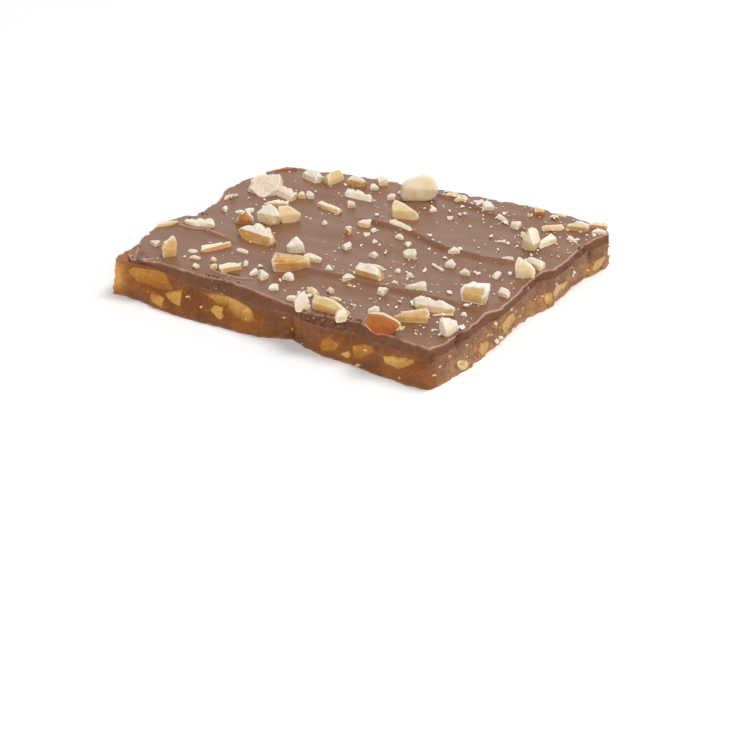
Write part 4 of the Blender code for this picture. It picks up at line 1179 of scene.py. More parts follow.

# ---- the strewn almonds ----
# Roasted almonds chopped with a knife and strewn on while the chocolate was
# soft, so their feet are in it. White where they were cut, golden to orange
# on the kernel's outer surface, with crisp white edges and broken corners.
# Upward facets are lighter and those facing front darker, partly as painted
# light and shade; the white edges are partly dust and partly a painted highlight.

# Outline (mirrored where the length is negative), x and y of the foot of the
# broad face, its length and reach, the thickness, turn and lean in degrees,
# and the finish.
STREWN = (
    ("slab", -35.0, 7.5, 9.3, 6.9, 2.4, 10, 50, "blush"),
    ("kite", -31.0, 10.0, 8.0, 3.1, 1.6, -15, 60, "cream"),
    ("tooth", -39.5, 23.5, 6.7, 1.0, 1.4, 55, 55, "skin"),
    ("dome", -32.0, 21.5, 6.6, 3.1, 2.0, -15, 45, "pale"),
    ("dome", -26.0, 24.5, 6.4, 3.0, 2.2, 85, 35, "tan"),
    ("husk", -21.5, 25.0, 5.1, 2.6, 1.8, 5, 40, "golden"),
    ("plank", -16.5, 19.0, 8.3, 2.9, 1.5, 5, 65, "pale"),
    ("block", -18.0, 10.0, -7.9, 1.9, 2.0, -10, 55, "golden"),
    ("spire", -24.0, -4.0, 6.0, 4.6, 2.4, 0, 35, "cream"),
    ("leaf", -20.0, -0.5, -5.0, 4.2, 2.0, 50, 35, "tan"),
    ("wedge", -28.0, 4.5, 6.4, 2.7, 1.6, 30, 60, "golden"),
    ("chunk", -27.5, -7.5, -4.7, 3.1, 2.2, 20, 20, "orange"),
    ("chunk", -19.5, -14.0, 10.4, 4.9, 3.0, 0, 50, "golden"),
    ("tooth", -8.5, -13.5, 4.1, 3.8, 2.0, 35, 25, "pale"),
    ("plank", -3.5, -21.5, 9.0, 4.3, 2.8, 45, 30, "striped"),
    ("plank", -2.5, -16.0, 4.4, 2.4, 1.6, 15, 45, "cream"),
    ("spire", -5.0, -28.5, 2.2, 2.3, 1.4, 80, 20, "pale"),
    ("chunk", -1.0, -26.0, 2.7, 1.9, 1.6, 15, 25, "pale"), ("husk", 7.5, -29.5, 3.2, 1.9, 1.4, -5, 45, "tan"),
    ("kite", 6.0, -34.0, 2.4, 1.6, 1.4, 10, 40, "pale"),
    ("spire", 11.0, -36.5, -3.5, 3.7, 2.2, 45, 10, "pale"),
    ("leaf", 16.0, -34.5, -10.2, 3.2, 2.2, 0, 30, "golden"),
    ("dome", 20.5, -36.0, 2.7, 2.2, 1.5, 60, 20, "cream"), ("dome", 13.0, -28.5, 3.0, 1.2, 0.6, 5, 70, "tan"),
    ("husk", -34.0, -14.5, -7.4, 2.1, 1.0, 25, 55, "pale"),
    ("tooth", -40.0, -18.0, -5.5, 1.3, 0.8, 60, 60, "tan"),
    ("plank", -28.5, -31.0, -3.6, 4.2, 2.2, 55, 15, "golden"),
    ("plank", -23.0, -22.0, 8.1, 1.9, 1.4, 70, 50, "golden"),
    ("leaf", -26.5, -26.5, 2.5, 1.3, 0.7, 0, 70, "pale"),
    ("tooth", -23.5, -29.0, -3.0, 1.0, 0.8, 20, 30, "cream"),
    ("dome", -17.0, -30.5, 1.8, 1.2, 1.0, 55, 30, "tan"),
    ("wedge", -36.0, -28.0, 2.9, 1.8, 0.8, -25, 45, "cream"),
    ("kite", -13.5, -29.0, -5.5, 2.0, 1.5, 65, 40, "golden"),
    ("dome", -4.5, 25.5, 8.6, 6.2, 4.0, 35, 30, "dome"),
    ("wedge", -0.5, 15.0, -7.0, 4.7, 2.2, 25, 45, "tan"),
    ("plank", 1.5, 10.0, 7.1, 1.7, 1.2, -5, 60, "pale"), ("tooth", 4.5, 5.5, -2.3, 1.5, 1.0, 5, 35, "pale"),
    ("husk", 12.5, -1.5, -3.0, 2.2, 1.8, 20, 25, "pale"),
    ("tooth", 19.0, 5.5, -2.8, 1.6, 1.4, 30, 35, "pale"),
    ("tooth", 22.5, -1.0, -2.4, 1.8, 1.6, 15, 20, "pale"),
    ("block", 20.5, -3.0, -4.2, 0.8, 1.0, -20, 60, "cream"),
    ("dome", 12.0, -16.0, -7.6, 3.3, 2.4, 0, 35, "golden"),
    ("wedge", 11.5, -11.0, -4.1, 1.9, 1.2, 45, 50, "pale"),
    ("tooth", 9.5, -19.0, -3.0, 1.7, 1.5, 45, 30, "pale"),
    ("block", 19.0, -21.0, 1.9, 1.9, 1.3, -5, 30, "pale"),
    ("wedge", 24.0, -15.5, 5.4, 2.3, 1.2, 25, 30, "pale"),
    ("husk", 32.5, -22.0, 10.1, 3.2, 2.2, 10, 45, "cream"),
    ("plank", 32.5, -28.5, -7.4, 3.0, 2.2, 30, 25, "golden"),
    ("kite", 24.0, -30.0, 2.3, 1.9, 1.4, 20, 20, "pale"),
    ("lens", 31.0, -36.5, 8.4, 4.2, 2.4, 25, 15, "skin"),
    ("kite", 35.5, -22.0, 4.5, 0.7, 0.6, 35, 70, "tan"),
    ("stump", 42.0, -28.0, 3.6, 3.6, 1.8, 85, 15, "pale"),
    ("block", 37.0, -13.5, 5.6, 4.0, 3.0, 10, 10, "framed"),
    ("dome", 40.0, -7.0, -2.9, 2.2, 1.0, -5, 40, "cream"),
    ("block", 33.0, 0.0, -1.6, 2.2, 0.8, -5, 65, "pale"),
    ("plank", 38.0, 4.0, 4.3, 4.3, 3.0, 30, 20, "cream"),
    ("husk", 36.0, 9.5, -5.4, 2.3, 2.0, -15, 35, "cream"),
    ("spire", 30.0, 16.5, 4.1, 4.8, 2.6, -5, 20, "cream"),
    ("plank", 32.5, 21.5, -6.7, 2.4, 1.4, 85, 45, "pale"),
    ("plank", 28.5, 29.0, -5.4, 1.9, 1.0, 35, 60, "tan"),
    ("dome", 33.0, 32.0, 5.2, 2.7, 2.0, 15, 35, "golden"),
    ("kite", 35.5, 36.0, 4.8, 1.7, 1.5, 25, 40, "golden"),
    ("tooth", 37.5, 33.5, -3.3, 1.4, 1.0, 35, 30, "pale"),
    ("plank", 21.5, 34.5, 2.5, 2.2, 1.8, 35, 30, "orange"),
    ("wedge", 35.0, 26.5, -3.9, 1.2, 0.9, -15, 55, "pale"),
    ("plank", 16.5, 27.0, 4.7, 1.4, 1.0, -20, 55, "pale"),
    ("plank", 21.0, 25.0, -2.7, 2.3, 1.0, -10, 50, "pale"),
    ("spire", 11.5, 29.5, 3.0, 2.9, 1.6, 40, 35, "pale"), ("plank", 3.5, 30.5, -3.2, 1.6, 0.8, 25, 60, "tan"),
    ("chunk", 0.0, 32.0, -3.6, 1.1, 1.0, 40, 55, "tan"),
    ("dome", -16.5, 25.5, -2.2, 1.7, 1.0, 35, 30, "pale"),
    ("stump", -16.5, 29.0, 2.4, 2.5, 1.2, 50, 35, "cream"),
    ("kite", -10.0, 23.0, 1.9, 1.5, 1.2, 35, 25, "pale"),
    ("spire", -14.5, 14.5, 2.1, 1.7, 1.2, 60, 20, "cream"),
    ("spire", -26.5, 12.0, -1.9, 1.8, 1.2, 30, 20, "cream"),
    ("kite", -25.0, 13.0, -1.7, 1.9, 1.2, 35, 20, "pale"),
    ("tooth", -39.5, 3.0, -3.6, 1.0, 0.8, 80, 50, "cream"),
    ("dome", -18.0, -20.0, -3.6, 1.0, 0.8, 0, 55, "pale"),
    ("dome", 0.0, -32.0, 2.4, 1.6, 1.2, 35, 35, "pale"),
    ("tooth", -6.0, 1.0, -2.0, 2.2, 1.0, -10, 30, "golden"),
    ("leaf", -5.5, 6.5, 3.0, 2.1, 1.0, 15, 45, "cream"),
    ("wedge", 23.5, 16.5, 1.9, 1.1, 0.7, 10, 60, "cream"),
    ("kite", 30.5, 9.0, 2.5, 0.9, 0.8, 25, 60, "cream"), ("spire", 25.5, 37.0, -2.9, 1.0, 0.9, 0, 60, "pale"),
)
PIECE_SINK = 0.5         # how deep a piece's foot reaches, before it is cut off
PIECE_CUT = 0.35         # and how deep in the chocolate it is cut off
STREWN_EDGE = 0.345      # longest edge of its mesh
# Tone of a cut, tone of the kernel's outer surface, which on facets facing
# front or sideways is partly painted shade, and how level a facet may lie and
# still show it; how far forward it must look for that, how near a ridge that
# still shows, how often the piece's edges are worn, how pink it is, and how
# strong the stripes of its skin are.
FINISHES = {
    "pale": {"cut": 0.02, "outside_and_shade": 0.16, "level": 0.45},
    "cream": {"cut": 0.06, "outside_and_shade": 0.30, "level": 0.55},
    "tan": {"cut": 0.15, "outside_and_shade": 0.38, "level": 0.90, "wear": 5},
    "golden": {"cut": 0.04, "outside_and_shade": 0.56, "level": 0.66},
    "framed": {"cut": -0.10, "outside_and_shade": 0.50, "level": 0.85, "front": 0.55, "margin": 0.30},
    "striped": {"cut": 0.06, "outside_and_shade": 0.62, "level": 0.75, "front": 0.30, "stripes": 0.22},
    "orange": {"cut": 0.05, "outside_and_shade": 0.80, "level": 0.70, "front": 0.20},
    "skin": {"cut": 0.34, "outside_and_shade": 0.95, "level": 1.2, "front": 0.30, "wear": 6},
    "dome": {"cut": 0.16, "outside_and_shade": 0.26, "level": 0.75, "wear": 110},
    "blush": {"cut": 0.18, "outside_and_shade": 0.24, "level": 0.30, "pink": 0.95},
}
USUAL = {"front": -2.0, "margin": 3.0, "wear": 1, "pink": 0.1, "stripes": 0.0}
FACET_SHADES = 0.05      # how far the facets of one piece differ in tone
SOME_PINK = (0.0, 0.0, 0.15, 0.35)
STRIPE_LENGTH = 6.0
STRIPE_WIDTH = 0.35
STRIPE_SLANT = 0.3
LOW_PART = 1.3           # up to here a piece is a little darker, towards its foot
BROKEN_CORNERS = (3, 5)
CORNER_ABOVE = 0.3       # a corner that lies lower isn't broken off
CORNER_JITTER = 0.4
CORNER_DEPTH = (0.05, 0.13)   # as a share of the piece's size
BITES = 3                # notches in a piece's edges
BITE_SIZE = (0.09, 0.22)      # as a share of the piece's size
BITE_DEPTH = 0.42
BITE_RIDGE = 0.6         # they are bitten where a ridge is this sharp
BITE_ABOVE = 0.4         # and this high
SOFT_RIDGE = 0.3         # a ridge this sharp is softened
SOFTENING = 0.3
SCOOP_CELL = 0.85        # width of the hollows in its faces, for a piece of 1 mm
SCOOP_DEPTH = 0.050      # and their depth, as a share of the piece's size
SCOOP_GRAIN = 0.35       # finer bumps in them
CRISP = math.radians(34.0)  # angle from which an edge is drawn sharp
CUT_WHITEST = (0.92, 0.885, 0.80)
CUT_WHITE = (0.84, 0.785, 0.67)
CUT_CREAM = (0.79, 0.67, 0.45)
OUTSIDE_TAN = (0.72, 0.48, 0.17)
OUTSIDE_BROWN = (0.56, 0.25, 0.060)
OUTSIDE_DARK = (0.37, 0.080, 0.008)
PINK = (0.80, 0.60, 0.48)
NUT_SPECK = (0.60, 0.42, 0.20)
NUT_DUST_AND_HIGHLIGHT = (0.95, 0.905, 0.82)


def break_corners(bm, size, draw):
    """Break a few corners off a piece."""
    corners = [vert.co.copy() for vert in bm.verts if vert.co.z > CORNER_ABOVE]
    middle = sum(corners, Vector()) / len(corners)
    for corner in draw.sample(corners, min(len(corners), draw.randint(*BROKEN_CORNERS))):
        jitter = Vector([draw.uniform(-CORNER_JITTER, CORNER_JITTER) for _ in range(3)])
        outward = ((corner - middle).normalized() + jitter).normalized()
        reach = max(vert.co.dot(outward) for vert in bm.verts)
        off = outward * (reach - size * draw.uniform(*CORNER_DEPTH))
        cut = bmesh.ops.bisect_plane(bm, geom=bm.verts[:] + bm.edges[:] + bm.faces[:],
                                     plane_co=off, plane_no=outward, clear_outer=True)
        rim = [item for item in cut["geom_cut"] if isinstance(item, bmesh.types.BMEdge)]
        if rim:
            bmesh.ops.edgeloop_fill(bm, edges=rim)


def facet_tone(facing, rim, shade, look):
    """Tone of a face, by where its facet looks and how near a ridge it is: partly roast, partly painted light
    on upward facets and painted shade on those facing front.
    """
    # Upward facets keep the cut's tone, partly as painted light; facets facing front take the darker tone,
    # partly as painted shade.
    share = smoothstep(look["level"] + 0.12, look["level"] - 0.12, facing.z)
    share *= smoothstep(look["front"] - 0.15, look["front"] + 0.15, -facing.y)
    share *= smoothstep(look["margin"], 0.35 * look["margin"], rim)
    return look["cut"] + (look["outside_and_shade"] - look["cut"]) * share + shade


def soften(bm, verts, factor):
    """Draw vertices towards their neighbours once."""
    bmesh.ops.smooth_vert(bm, verts=verts, factor=factor,
                          use_axis_x=True, use_axis_y=True, use_axis_z=True)


def wear(bm, times):
    """Wear a piece round all over, and keep its size."""
    def extent():
        return [[pick(vert.co[axis] for vert in bm.verts) for axis in range(3)] for pick in (min, max)]

    low, high = extent()
    for _ in range(times):
        soften(bm, bm.verts, 0.5)
    worn_low, worn_high = extent()
    for vert in bm.verts:
        for axis in range(3):
            share = (vert.co[axis] - worn_low[axis]) / (worn_high[axis] - worn_low[axis])
            vert.co[axis] = low[axis] + share * (high[axis] - low[axis])


def weather(bm, draw, size):
    """Bite notches out of a piece's edges, soften them and scoop its faces."""
    rim = bm.verts.layers.float["rim"]
    ridge_points = [vert.co.copy() for vert in bm.verts
                    if vert[rim] > BITE_RIDGE and vert.co.z > BITE_ABOVE]
    bites = []
    for _ in range(BITES if ridge_points else 0):
        bites.append((draw.choice(ridge_points), size * draw.uniform(*BITE_SIZE)))
    soften(bm, [vert for vert in bm.verts if vert[rim] > SOFT_RIDGE], SOFTENING)
    bm.normal_update()
    normals = [vert.normal.copy() for vert in bm.verts]
    place = Vector([draw.uniform(0.0, 90.0) for _ in range(3)])
    cell, depth = SCOOP_CELL * math.sqrt(size), SCOOP_DEPTH * size
    for vert, normal in zip(bm.verts, normals):
        point = vert.co + place
        scoop = noise.voronoi(point / cell)[0][0] - 0.5
        grain = noise.noise(point / (0.3 * cell))
        bitten = max((smoothstep(reach, 0.3 * reach, (vert.co - centre).length) * reach
                      for centre, reach in bites), default=0.0)
        vert.co += normal * (depth * (scoop + SCOOP_GRAIN * grain) - BITE_DEPTH * bitten)


def facet_tones(piece, seed, look, draw):
    """Tones of a piece's faces, facet by facet, partly roast and partly painted light and shade, with the
    stripes of its skin.
    """
    facing, rim = piece.faces.layers.float_vector["facing"], piece.verts.layers.float["rim"]
    shades = {}
    tones = []
    for face in piece.faces:
        key = tuple(round(part, 2) for part in face[facing])
        shade = shades.setdefault(key, draw.uniform(-FACET_SHADES, FACET_SHADES))
        ridge = sum(vert[rim] for vert in face.verts) / len(face.verts)
        along, _, up = face.calc_center_median()
        stripe_place = Vector((along / STRIPE_LENGTH, seed, up / STRIPE_WIDTH + STRIPE_SLANT * along))
        stripe = look["stripes"] * noise.noise(stripe_place)
        tones.append(facet_tone(face[facing], ridge, shade, look) + stripe)
    return tones


def strew(rows, first_seed, longest):
    """Lay almond pieces on the chocolate's face."""
    gathered = Gathered()
    for number, (outline, x, y, length, reach, thick, turn, lean, finish) in enumerate(rows):
        seed = first_seed + number
        piece = almond_piece(outline, length, reach, thick, lean, PIECE_SINK, seed)
        draw = random.Random(seed + 1000)
        size = (abs(length) * reach * (reach + thick)) ** (1.0 / 3.0)
        break_corners(piece, size, draw)
        bmesh.ops.bisect_plane(piece, geom=piece.verts[:] + piece.edges[:] + piece.faces[:],
                               plane_co=(0, 0, -PIECE_CUT), plane_no=(0, 0, -1), clear_outer=True)
        bmesh.ops.holes_fill(piece, edges=piece.edges)
        bmesh.ops.recalc_face_normals(piece, faces=piece.faces)
        refined(piece, longest)
        look = {**USUAL, **FINISHES[finish]}
        tones = facet_tones(piece, seed, look, draw)
        rim = piece.verts.layers.float["rim"]
        rims = [vert[rim] / look["wear"] for vert in piece.verts]
        blush = max(look["pink"], draw.choice(SOME_PINK))
        if look["wear"] > 1:
            wear(piece, look["wear"])
        else:
            weather(piece, draw, size)
        lows = [smoothstep(LOW_PART, 0.0, vert.co.z) for vert in piece.verts]
        foot = Matrix.Translation((x, y, chocolate_face(x, y)))
        bmesh.ops.transform(piece, matrix=foot @ Matrix.Rotation(math.radians(turn), 4, "Z"),
                            verts=piece.verts)
        gathered.add(piece, {"rim": rims, "low": lows}, {"tone": tones, "blush": [blush] * len(tones)})
    return gathered


def almond_finish():
    """Dry roasted almond: white to cream where cut, golden to orange on its outer surface and partly as
    painted shade, with dust and a painted highlight along its ridges.
    """
    finish = Finish("roasted_almond", Subsurface_Weight=0.22, Subsurface_Scale=0.0008,
                    Subsurface_Radius=(1.0, 0.7, 0.4), Specular_IOR_Level=0.25)
    tone, rim, low, pink = (finish.attribute(name) for name in ("tone", "rim", "low", "blush"))
    patches = finish.use(MOTTLE, Patch_Size=0.0019, Contrast=1.9)
    specks = finish.use(MOTTLE, Patch_Size=0.00038, Contrast=2.4)
    drift = finish.use(MOTTLE, Patch_Size=0.012, Contrast=2.5)
    wandering = finish.calculate("MULTIPLY_ADD", finish.calculate("SUBTRACT", patches, 0.5), 0.24, tone)
    wandering = finish.calculate("MULTIPLY_ADD", low, 0.10, wandering)
    nut = finish.ramp(wandering, (0.0, CUT_WHITE), (0.20, CUT_CREAM), (0.45, OUTSIDE_TAN),
                      (0.72, OUTSIDE_BROWN), (1.0, OUTSIDE_DARK))
    blush = finish.calculate("MULTIPLY", pink, finish.between(drift, 0.2, 0.8, 0.35, 1.0))
    blush = finish.calculate("MULTIPLY", blush, finish.between(tone, 0.25, 0.6, 1.0, 0.0))
    nut = finish.mix(blush, nut, PINK)
    speck = finish.calculate("MULTIPLY", finish.between(specks, 0.62, 1.0, 0.0, 0.28),
                             finish.between(tone, 0.6, 0.95, 1.0, 0.15))
    nut = finish.mix(speck, nut, NUT_SPECK)
    nut = finish.mix(finish.between(tone, 0.0, -0.10, 0.0, 0.8), nut, CUT_WHITEST)
    # White along the ridges: partly almond dust, partly a painted highlight.
    dust_and_highlight = finish.calculate("MULTIPLY", rim, finish.between(patches, 0.2, 0.8, 0.45, 0.95))
    dust_and_highlight = finish.calculate("MULTIPLY", dust_and_highlight, finish.between(tone, 0.45, 0.9, 1.0, 0.25))
    finish.colour(finish.mix(dust_and_highlight, nut, NUT_DUST_AND_HIGHLIGHT))
    finish.roughness(finish.between(specks, 0.0, 1.0, 0.48, 0.70))
    finish.bump(finish.use(GRAIN, Grain_Size=0.00045, Depth=0.00008))
    return finish.material


almond_material = almond_finish()
strewn = strew(STREWN, 0, STREWN_EDGE).object("strewn_almonds")
strewn.data.set_sharp_from_angle(angle=CRISP)
dress(strewn, almond_material, "chocolate")

# ---- the small chips ----
# Bits of almond of two millimetres that fell between the larger pieces when
# they were strewn.

CHIP_COUNT = 26
CHIP_SEED = 17
CHIP_LENGTH = (1.5, 2.3)
CHIP_REACH = 0.7         # as a share of the length
CHIP_THICKNESS = 0.5     # likewise
CHIP_LEAN = (30.0, 65.0)
CHIP_OUTLINES = ("wedge", "spire", "tooth", "block")
CHIP_FIELD = (42.0, 37.0)  # half of the field that they fell on
CHIP_CLEARANCE = 0.8
CHIP_EDGE_MARGIN = 2.2
CHIP_EDGE = 0.22         # longest edge of its mesh


def strewn_chips(stations):
    """Rows of the small chips, clear of the larger pieces and the rim."""
    draw = random.Random(CHIP_SEED)
    taken = [(row[1], row[2], 0.5 * abs(row[3])) for row in STREWN]
    chips = []
    while len(chips) < CHIP_COUNT:
        place = Vector([draw.uniform(-half, half) for half in CHIP_FIELD])
        length = draw.uniform(*CHIP_LENGTH)
        nearest = min(stations, key=lambda station: (station[0] - place).length)
        inside = (nearest[0] - place).dot(nearest[1])
        if inside < CHIP_EDGE_MARGIN + nearest[3]:
            continue
        room = 0.5 * length + CHIP_CLEARANCE
        if any(math.hypot(place.x - x, place.y - y) < reach + room for x, y, reach in taken):
            continue
        taken.append((place.x, place.y, 0.5 * length))
        chips.append((draw.choice(CHIP_OUTLINES), place.x, place.y, length, length * CHIP_REACH,
                      length * CHIP_THICKNESS, draw.uniform(0.0, 360.0), draw.uniform(*CHIP_LEAN), "pale"))
    return chips


chip_rows = strewn_chips(rim_stations(COARSE_STATION, 1))
chips = strew(chip_rows, len(STREWN), CHIP_EDGE).object("small_chips")
dress(chips, almond_material, "chocolate")

# ---- the crumbs ----
# White crumbs and specks that the knife made, scattered thinly, most of them
# between the pieces and on the right half, with a few bits on the breaks.

SPECK_COUNT = 430
SPECK_SIZE = (0.26, 0.58)
CRUMB_COUNT = 85
CRUMB_SIZE = (0.6, 1.25)
# Where crumbs lie in a heap: x, y, z, how far they reach, their number, the
# largest size and their tone.
HEAPS = ((-2.4, 33.6, 8.7, 1.6, 14, 1.0, 0.10), (1.6, 32.8, 8.7, 1.5, 14, 1.1, 0.10),
         (6.9, 32.0, 8.7, 2.0, 22, 1.2, 0.02), (10.7, 31.2, 8.7, 1.3, 14, 1.0, 0.0),
         (25.2, 35.0, 8.7, 1.6, 10, 0.9, 0.15), (34.6, -35.2, 10.1, 0.8, 16, 0.8, 0.30),
         (-29.2, -6.8, 10.6, 0.9, 12, 1.1, 0.04), (-39.2, 3.5, 8.8, 0.9, 7, 0.9, 0.20),
         (5.0, -30.5, 8.7, 1.2, 8, 0.8, 0.02), (42.5, -25.5, 8.8, 0.7, 9, 1.0, 0.0))
HEAP_SPREAD = 0.45       # spread of a heap's crumbs, as a share of its reach
HEAP_SIZES = (0.3, 1.0)  # their sizes, as shares of the largest
HEAP_TONES = (-0.06, 0.10)
# Single bits on the breaks: x, y, z, size and tone.
SIDE_BITS = ((-18.7, -37.4, 4.2, 0.8, 0.30), (-18.2, -37.4, 4.4, 0.5, 0.25), (25.7, -37.4, 0.6, 1.0, 0.40),
             (42.2, -12.5, 1.2, 1.2, 0.22), (42.2, -10.8, 1.4, 1.0, 0.18), (38.5, 22.3, 3.6, 1.2, 0.08),
             (38.7, 21.6, 3.2, 0.8, 0.12), (43.0, -24.6, 2.6, 0.8, 0.12))
FLAKES_PER_MM = 6.0      # for each millimetre that a crumbled place reaches
FLAKE_SIZE = (0.25, 0.95)
FLAKES_ON_SIDE = 0.6     # share of them on the broken side, the rest lie on the face
BREAK_CRUMB_COUNT = 110
BREAK_CRUMB_SIZE = (0.35, 1.1)
BREAK_CRUMB_HEIGHT = (0.5, 5.8)
FRONT_CRUMBS = 0.10      # share of the crumbs that the clean front break keeps
CRUMB_TONES = (0.30, 0.42, 0.50, 0.56, 0.62)
CRUMB_RIM = 1.7          # crumbs are white all over, as ridges are
CRUMB_SEED = 71
CRUMB_JAGS = (0.55, 1.30)  # how far in or out a corner lies, as a share of the radius
CRUMB_LENGTH = (0.9, 1.5)  # as shares of the size
CRUMB_WIDTH = (0.55, 1.0)
CRUMB_THICKNESS = (0.5, 0.85)
CRUMB_MARGIN = 0.8       # clearance of the scattered crumbs from the rim
CRUMB_LIFT = 0.22        # height of a crumb's middle, as a share of its size
SCATTERED_TONES = (-0.1, -0.05, 0.0, 0.04, 0.08, 0.35)
NEAR_PIECE = 3.0         # how far from a piece the crumbs thin out
FLAKE_JAGS = (0.5, 1.35)
FLAKE_LENGTH = (1.0, 1.7)
FLAKE_THICKNESS = 0.4
FLAKE_TILT = 1.2         # most tilt, in radians
FLAKE_SPREAD = 0.4       # as a share of how far the crumbled place reaches
FLAKE_INWARD = (0.1, 1.4)  # how far in from the rim a flake on the face lies
FLAKE_LIFT = 0.12


def crumb_density(place):
    """How likely a crumb lies at a place."""
    right = smoothstep(-14.0, 16.0, place.x + 0.3 * place.y)
    cloud = smoothstep(-0.30, 0.45, noise.noise(Vector((place.x / 7.0, place.y / 7.0, 61.0))))
    gap = min(math.hypot(place.x - row[1], place.y - row[2]) - 0.45 * abs(row[3]) for row in STREWN)
    beside = math.exp(-max(0.0, gap) / NEAR_PIECE)
    rim = smoothstep(26.0, 33.0, place.y + 0.12 * place.x)
    return 0.05 + 0.50 * right * cloud + 0.30 * beside * (0.4 + 0.6 * right) + 0.35 * rim


def jagged_ball(size, jags, draw):
    """A small ball whose corners lie unevenly far out."""
    bm = bmesh.new()
    bmesh.ops.create_icosphere(bm, subdivisions=1, radius=0.5 * size)
    for vert in bm.verts:
        vert.co *= draw.uniform(*jags)
    return bm


def turn_and_place(bm, axis, most, middle, draw):
    """Turn a bit round an axis by chance, and put it in its place."""
    bmesh.ops.rotate(bm, matrix=Matrix.Rotation(draw.uniform(0.0, most), 3, axis), verts=bm.verts)
    bmesh.ops.translate(bm, vec=middle, verts=bm.verts)


def crumb(gathered, middle, size, tone, draw):
    """Add one crumb: a jagged ball, squashed and turned."""
    bm = jagged_ball(size, CRUMB_JAGS, draw)
    squash = [draw.uniform(*share) for share in (CRUMB_LENGTH, CRUMB_WIDTH, CRUMB_THICKNESS)]
    bmesh.ops.scale(bm, vec=squash, verts=bm.verts)
    turn_and_place(bm, "Z", math.tau, middle, draw)
    corners, faces = len(bm.verts), len(bm.faces)
    white = CRUMB_RIM * smoothstep(0.28, 0.05, tone)
    gathered.add(bm, {"rim": [white] * corners, "low": [0.0] * corners},
                 {"tone": [tone] * faces, "blush": [0.1] * faces})


def scatter(gathered, count, sizes, draw):
    """Scatter crumbs on the chocolate's face."""
    made = 0
    while made < count:
        place = Vector([draw.uniform(-half, half) for half in CHIP_FIELD])
        station = nearest_station(place)
        inside = (station[0] - place).dot(station[1])
        if inside < CRUMB_MARGIN + station[3] or draw.random() > crumb_density(place):
            continue
        size = draw.uniform(*sizes)
        middle = Vector((place.x, place.y, spread_face(place.x, place.y) + CRUMB_LIFT * size))
        crumb(gathered, middle, size, draw.choice(SCATTERED_TONES), draw)
        made += 1


def heap(gathered, draw):
    """Heap crumbs up where they fell close together."""
    for x, y, z, reach, count, largest, tone in HEAPS:
        for _ in range(count):
            off = Vector([draw.gauss(0.0, HEAP_SPREAD * reach) for _ in range(2)])
            size = largest * draw.uniform(*HEAP_SIZES)
            middle = Vector((x + off.x, y + off.y, z + 0.5 * size * math.exp(-off.length)))
            crumb(gathered, middle, size, tone + draw.uniform(*HEAP_TONES), draw)


def stick_on_breaks(gathered, draw):
    """Stick crumbs on the breaks, most of them on the crumbly ones."""
    for x, y, z, size, tone in SIDE_BITS:
        station = nearest_station(Vector((x, y)))
        crumb(gathered, Vector((x, y, z)) + station[1].to_3d() * 0.1, size, tone, draw)
    made = 0
    while made < BREAK_CRUMB_COUNT:
        station = draw.choice(fine_stations)
        if draw.random() > max(FRONT_CRUMBS, crumbliness(station[0], station[1])):
            continue
        z = draw.uniform(*BREAK_CRUMB_HEIGHT)
        size = draw.uniform(*BREAK_CRUMB_SIZE)
        surface = break_point(station, z, 0.0)
        surface += station[1] * (toffee_relief(station, surface, z) + 0.05 * size)
        crumb(gathered, Vector((surface.x, surface.y, z)), size, draw.choice(CRUMB_TONES), draw)
        made += 1


def flake(gathered, middle, size, draw):
    """Add one flake of chocolate: a jagged, flat, tilted chip."""
    bm = jagged_ball(size, FLAKE_JAGS, draw)
    bmesh.ops.scale(bm, vec=(draw.uniform(*FLAKE_LENGTH), 1.0, FLAKE_THICKNESS), verts=bm.verts)
    turn_and_place(bm, "X", FLAKE_TILT, (0.0, 0.0, 0.0), draw)
    turn_and_place(bm, "Z", math.tau, middle, draw)
    corners = len(bm.verts)
    # each flake takes a random share of the painted edge highlight, and some take the painted hollow shade
    edge, dark = draw.uniform(0.0, 0.55), draw.choice((0.0, 0.0, 0.6))
    gathered.add(bm, {"edge": [edge] * corners, "broken": [1.0] * corners, "dark": [dark] * corners}, {})


def flake_off(gathered, draw):
    """Leave flakes where the snapped edge of the chocolate crumbled."""
    for x, y, reach in CRUMBLED:
        for _ in range(round(FLAKES_PER_MM * reach)):
            spread = FLAKE_SPREAD * reach
            spot = Vector((x + draw.gauss(0.0, spread), y + draw.gauss(0.0, spread)))
            station = nearest_station(spot)
            size = draw.uniform(*FLAKE_SIZE)
            if draw.random() < FLAKES_ON_SIDE:
                z = draw.uniform(toffee_face(spot.x, spot.y) - 0.2, SLAB_TOP)
                place = break_point(station, z, station[3])
                place += station[1] * coat_relief(station, place, z)
            else:
                place = station[0] - station[1] * (station[3] + draw.uniform(*FLAKE_INWARD))
                z = spread_face(place.x, place.y) + FLAKE_LIFT * size
            flake(gathered, Vector((place.x, place.y, z)), size, draw)


def finish_bits(gathered, name, material, node):
    """Turn gathered bits into a piece with plain flat facets."""
    obj = gathered.object(name)
    obj.data.shade_flat()
    dress(obj, material, node)


crumb_draw = random.Random(CRUMB_SEED)
crumbs, break_crumbs, flakes = Gathered(), Gathered(), Gathered()
scatter(crumbs, SPECK_COUNT, SPECK_SIZE, crumb_draw)
scatter(crumbs, CRUMB_COUNT, CRUMB_SIZE, crumb_draw)
heap(crumbs, crumb_draw)
stick_on_breaks(break_crumbs, crumb_draw)
flake_off(flakes, crumb_draw)
finish_bits(crumbs, "almond_crumbs", almond_material, "chocolate")
finish_bits(break_crumbs, "break_crumbs", almond_material, "toffee")
finish_bits(flakes, "chocolate_flakes", chocolate_material, "chocolate")

# ---- the studio ----
# A pale floor that runs out of sight and a broad soft light from above and
# behind, with a weaker one in front.

FLOOR_HALF = 4.0
FLOOR_WHITE = (0.97, 0.97, 0.968, 1.0)
SKY_STRENGTH = 0.36
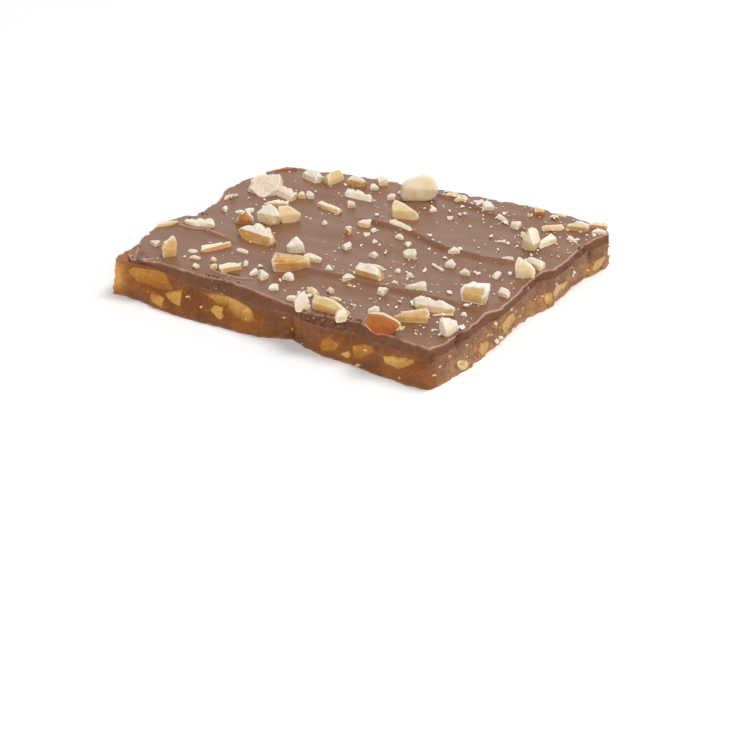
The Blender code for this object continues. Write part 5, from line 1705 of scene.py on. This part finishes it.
# Each light: how far it stands to the right, away and up as the camera sees
# it, in metres, its width, and its power in watts.
LIGHTS = {
    "top_light": (0.35, 0.20, 0.95, 0.5, 6.0),
    "back_light": (0.0, 1.2, 0.42, 0.8, 1.9),
    "front_light": (-0.1, -0.9, 0.5, 0.7, 5.2),
    "right_light": (1.0, -0.2, 0.35, 0.6, 1.3),
}
VIEW_AZIMUTH = math.radians(36.24)
VIEW_ELEVATION = math.radians(25.0)
VIEW_DISTANCE = 0.600
VIEW_AIM = Vector((0.0304, -0.0382, 0.0))
VIEW_LENS = 144.0

floor_bm = bmesh.new()
bmesh.ops.create_grid(floor_bm, x_segments=1, y_segments=1, size=FLOOR_HALF)
floor = link("floor", floor_bm)
floor_finish = Finish("floor", Roughness=0.9, Specular_IOR_Level=0.1, Base_Color=FLOOR_WHITE)
floor.data.materials.append(floor_finish.material)


def soft_light(name, place, width, power):
    """A square area light that faces the shard."""
    lamp = bpy.data.lights.new(name, "AREA")
    lamp.energy = power
    lamp.size = width
    obj = bpy.data.objects.new(name, lamp)
    obj.location = place
    obj.rotation_euler = (-place).to_track_quat("-Z", "Y").to_euler()
    bpy.context.scene.collection.objects.link(obj)


away = Vector((-math.sin(VIEW_AZIMUTH), math.cos(VIEW_AZIMUTH), 0.0))
right = Vector((math.cos(VIEW_AZIMUTH), math.sin(VIEW_AZIMUTH), 0.0))
up = Vector((0.0, 0.0, 1.0))
for name, (to_right, further, higher, width, power) in LIGHTS.items():
    soft_light(name, right * to_right + away * further + up * higher, width, power)

world = bpy.data.worlds.new("studio")
world.use_nodes = True
sky = world.node_tree.nodes["Background"]
sky.inputs["Color"].default_value = (1.0, 1.0, 1.0, 1.0)
sky.inputs["Strength"].default_value = SKY_STRENGTH
bpy.context.scene.world = world
bpy.context.scene.view_settings.view_transform = "Standard"

camera_data = bpy.data.cameras.new("camera")
camera_data.lens = VIEW_LENS
camera_data.sensor_width = 36.0
camera_data.clip_start = 0.05
camera = bpy.data.objects.new("camera", camera_data)
sight = away * math.cos(VIEW_ELEVATION) - up * math.sin(VIEW_ELEVATION)
camera.location = VIEW_AIM - sight * VIEW_DISTANCE
camera.rotation_euler = sight.to_track_quat("-Z", "Y").to_euler()
bpy.context.scene.collection.objects.link(camera)
bpy.context.scene.camera = camera
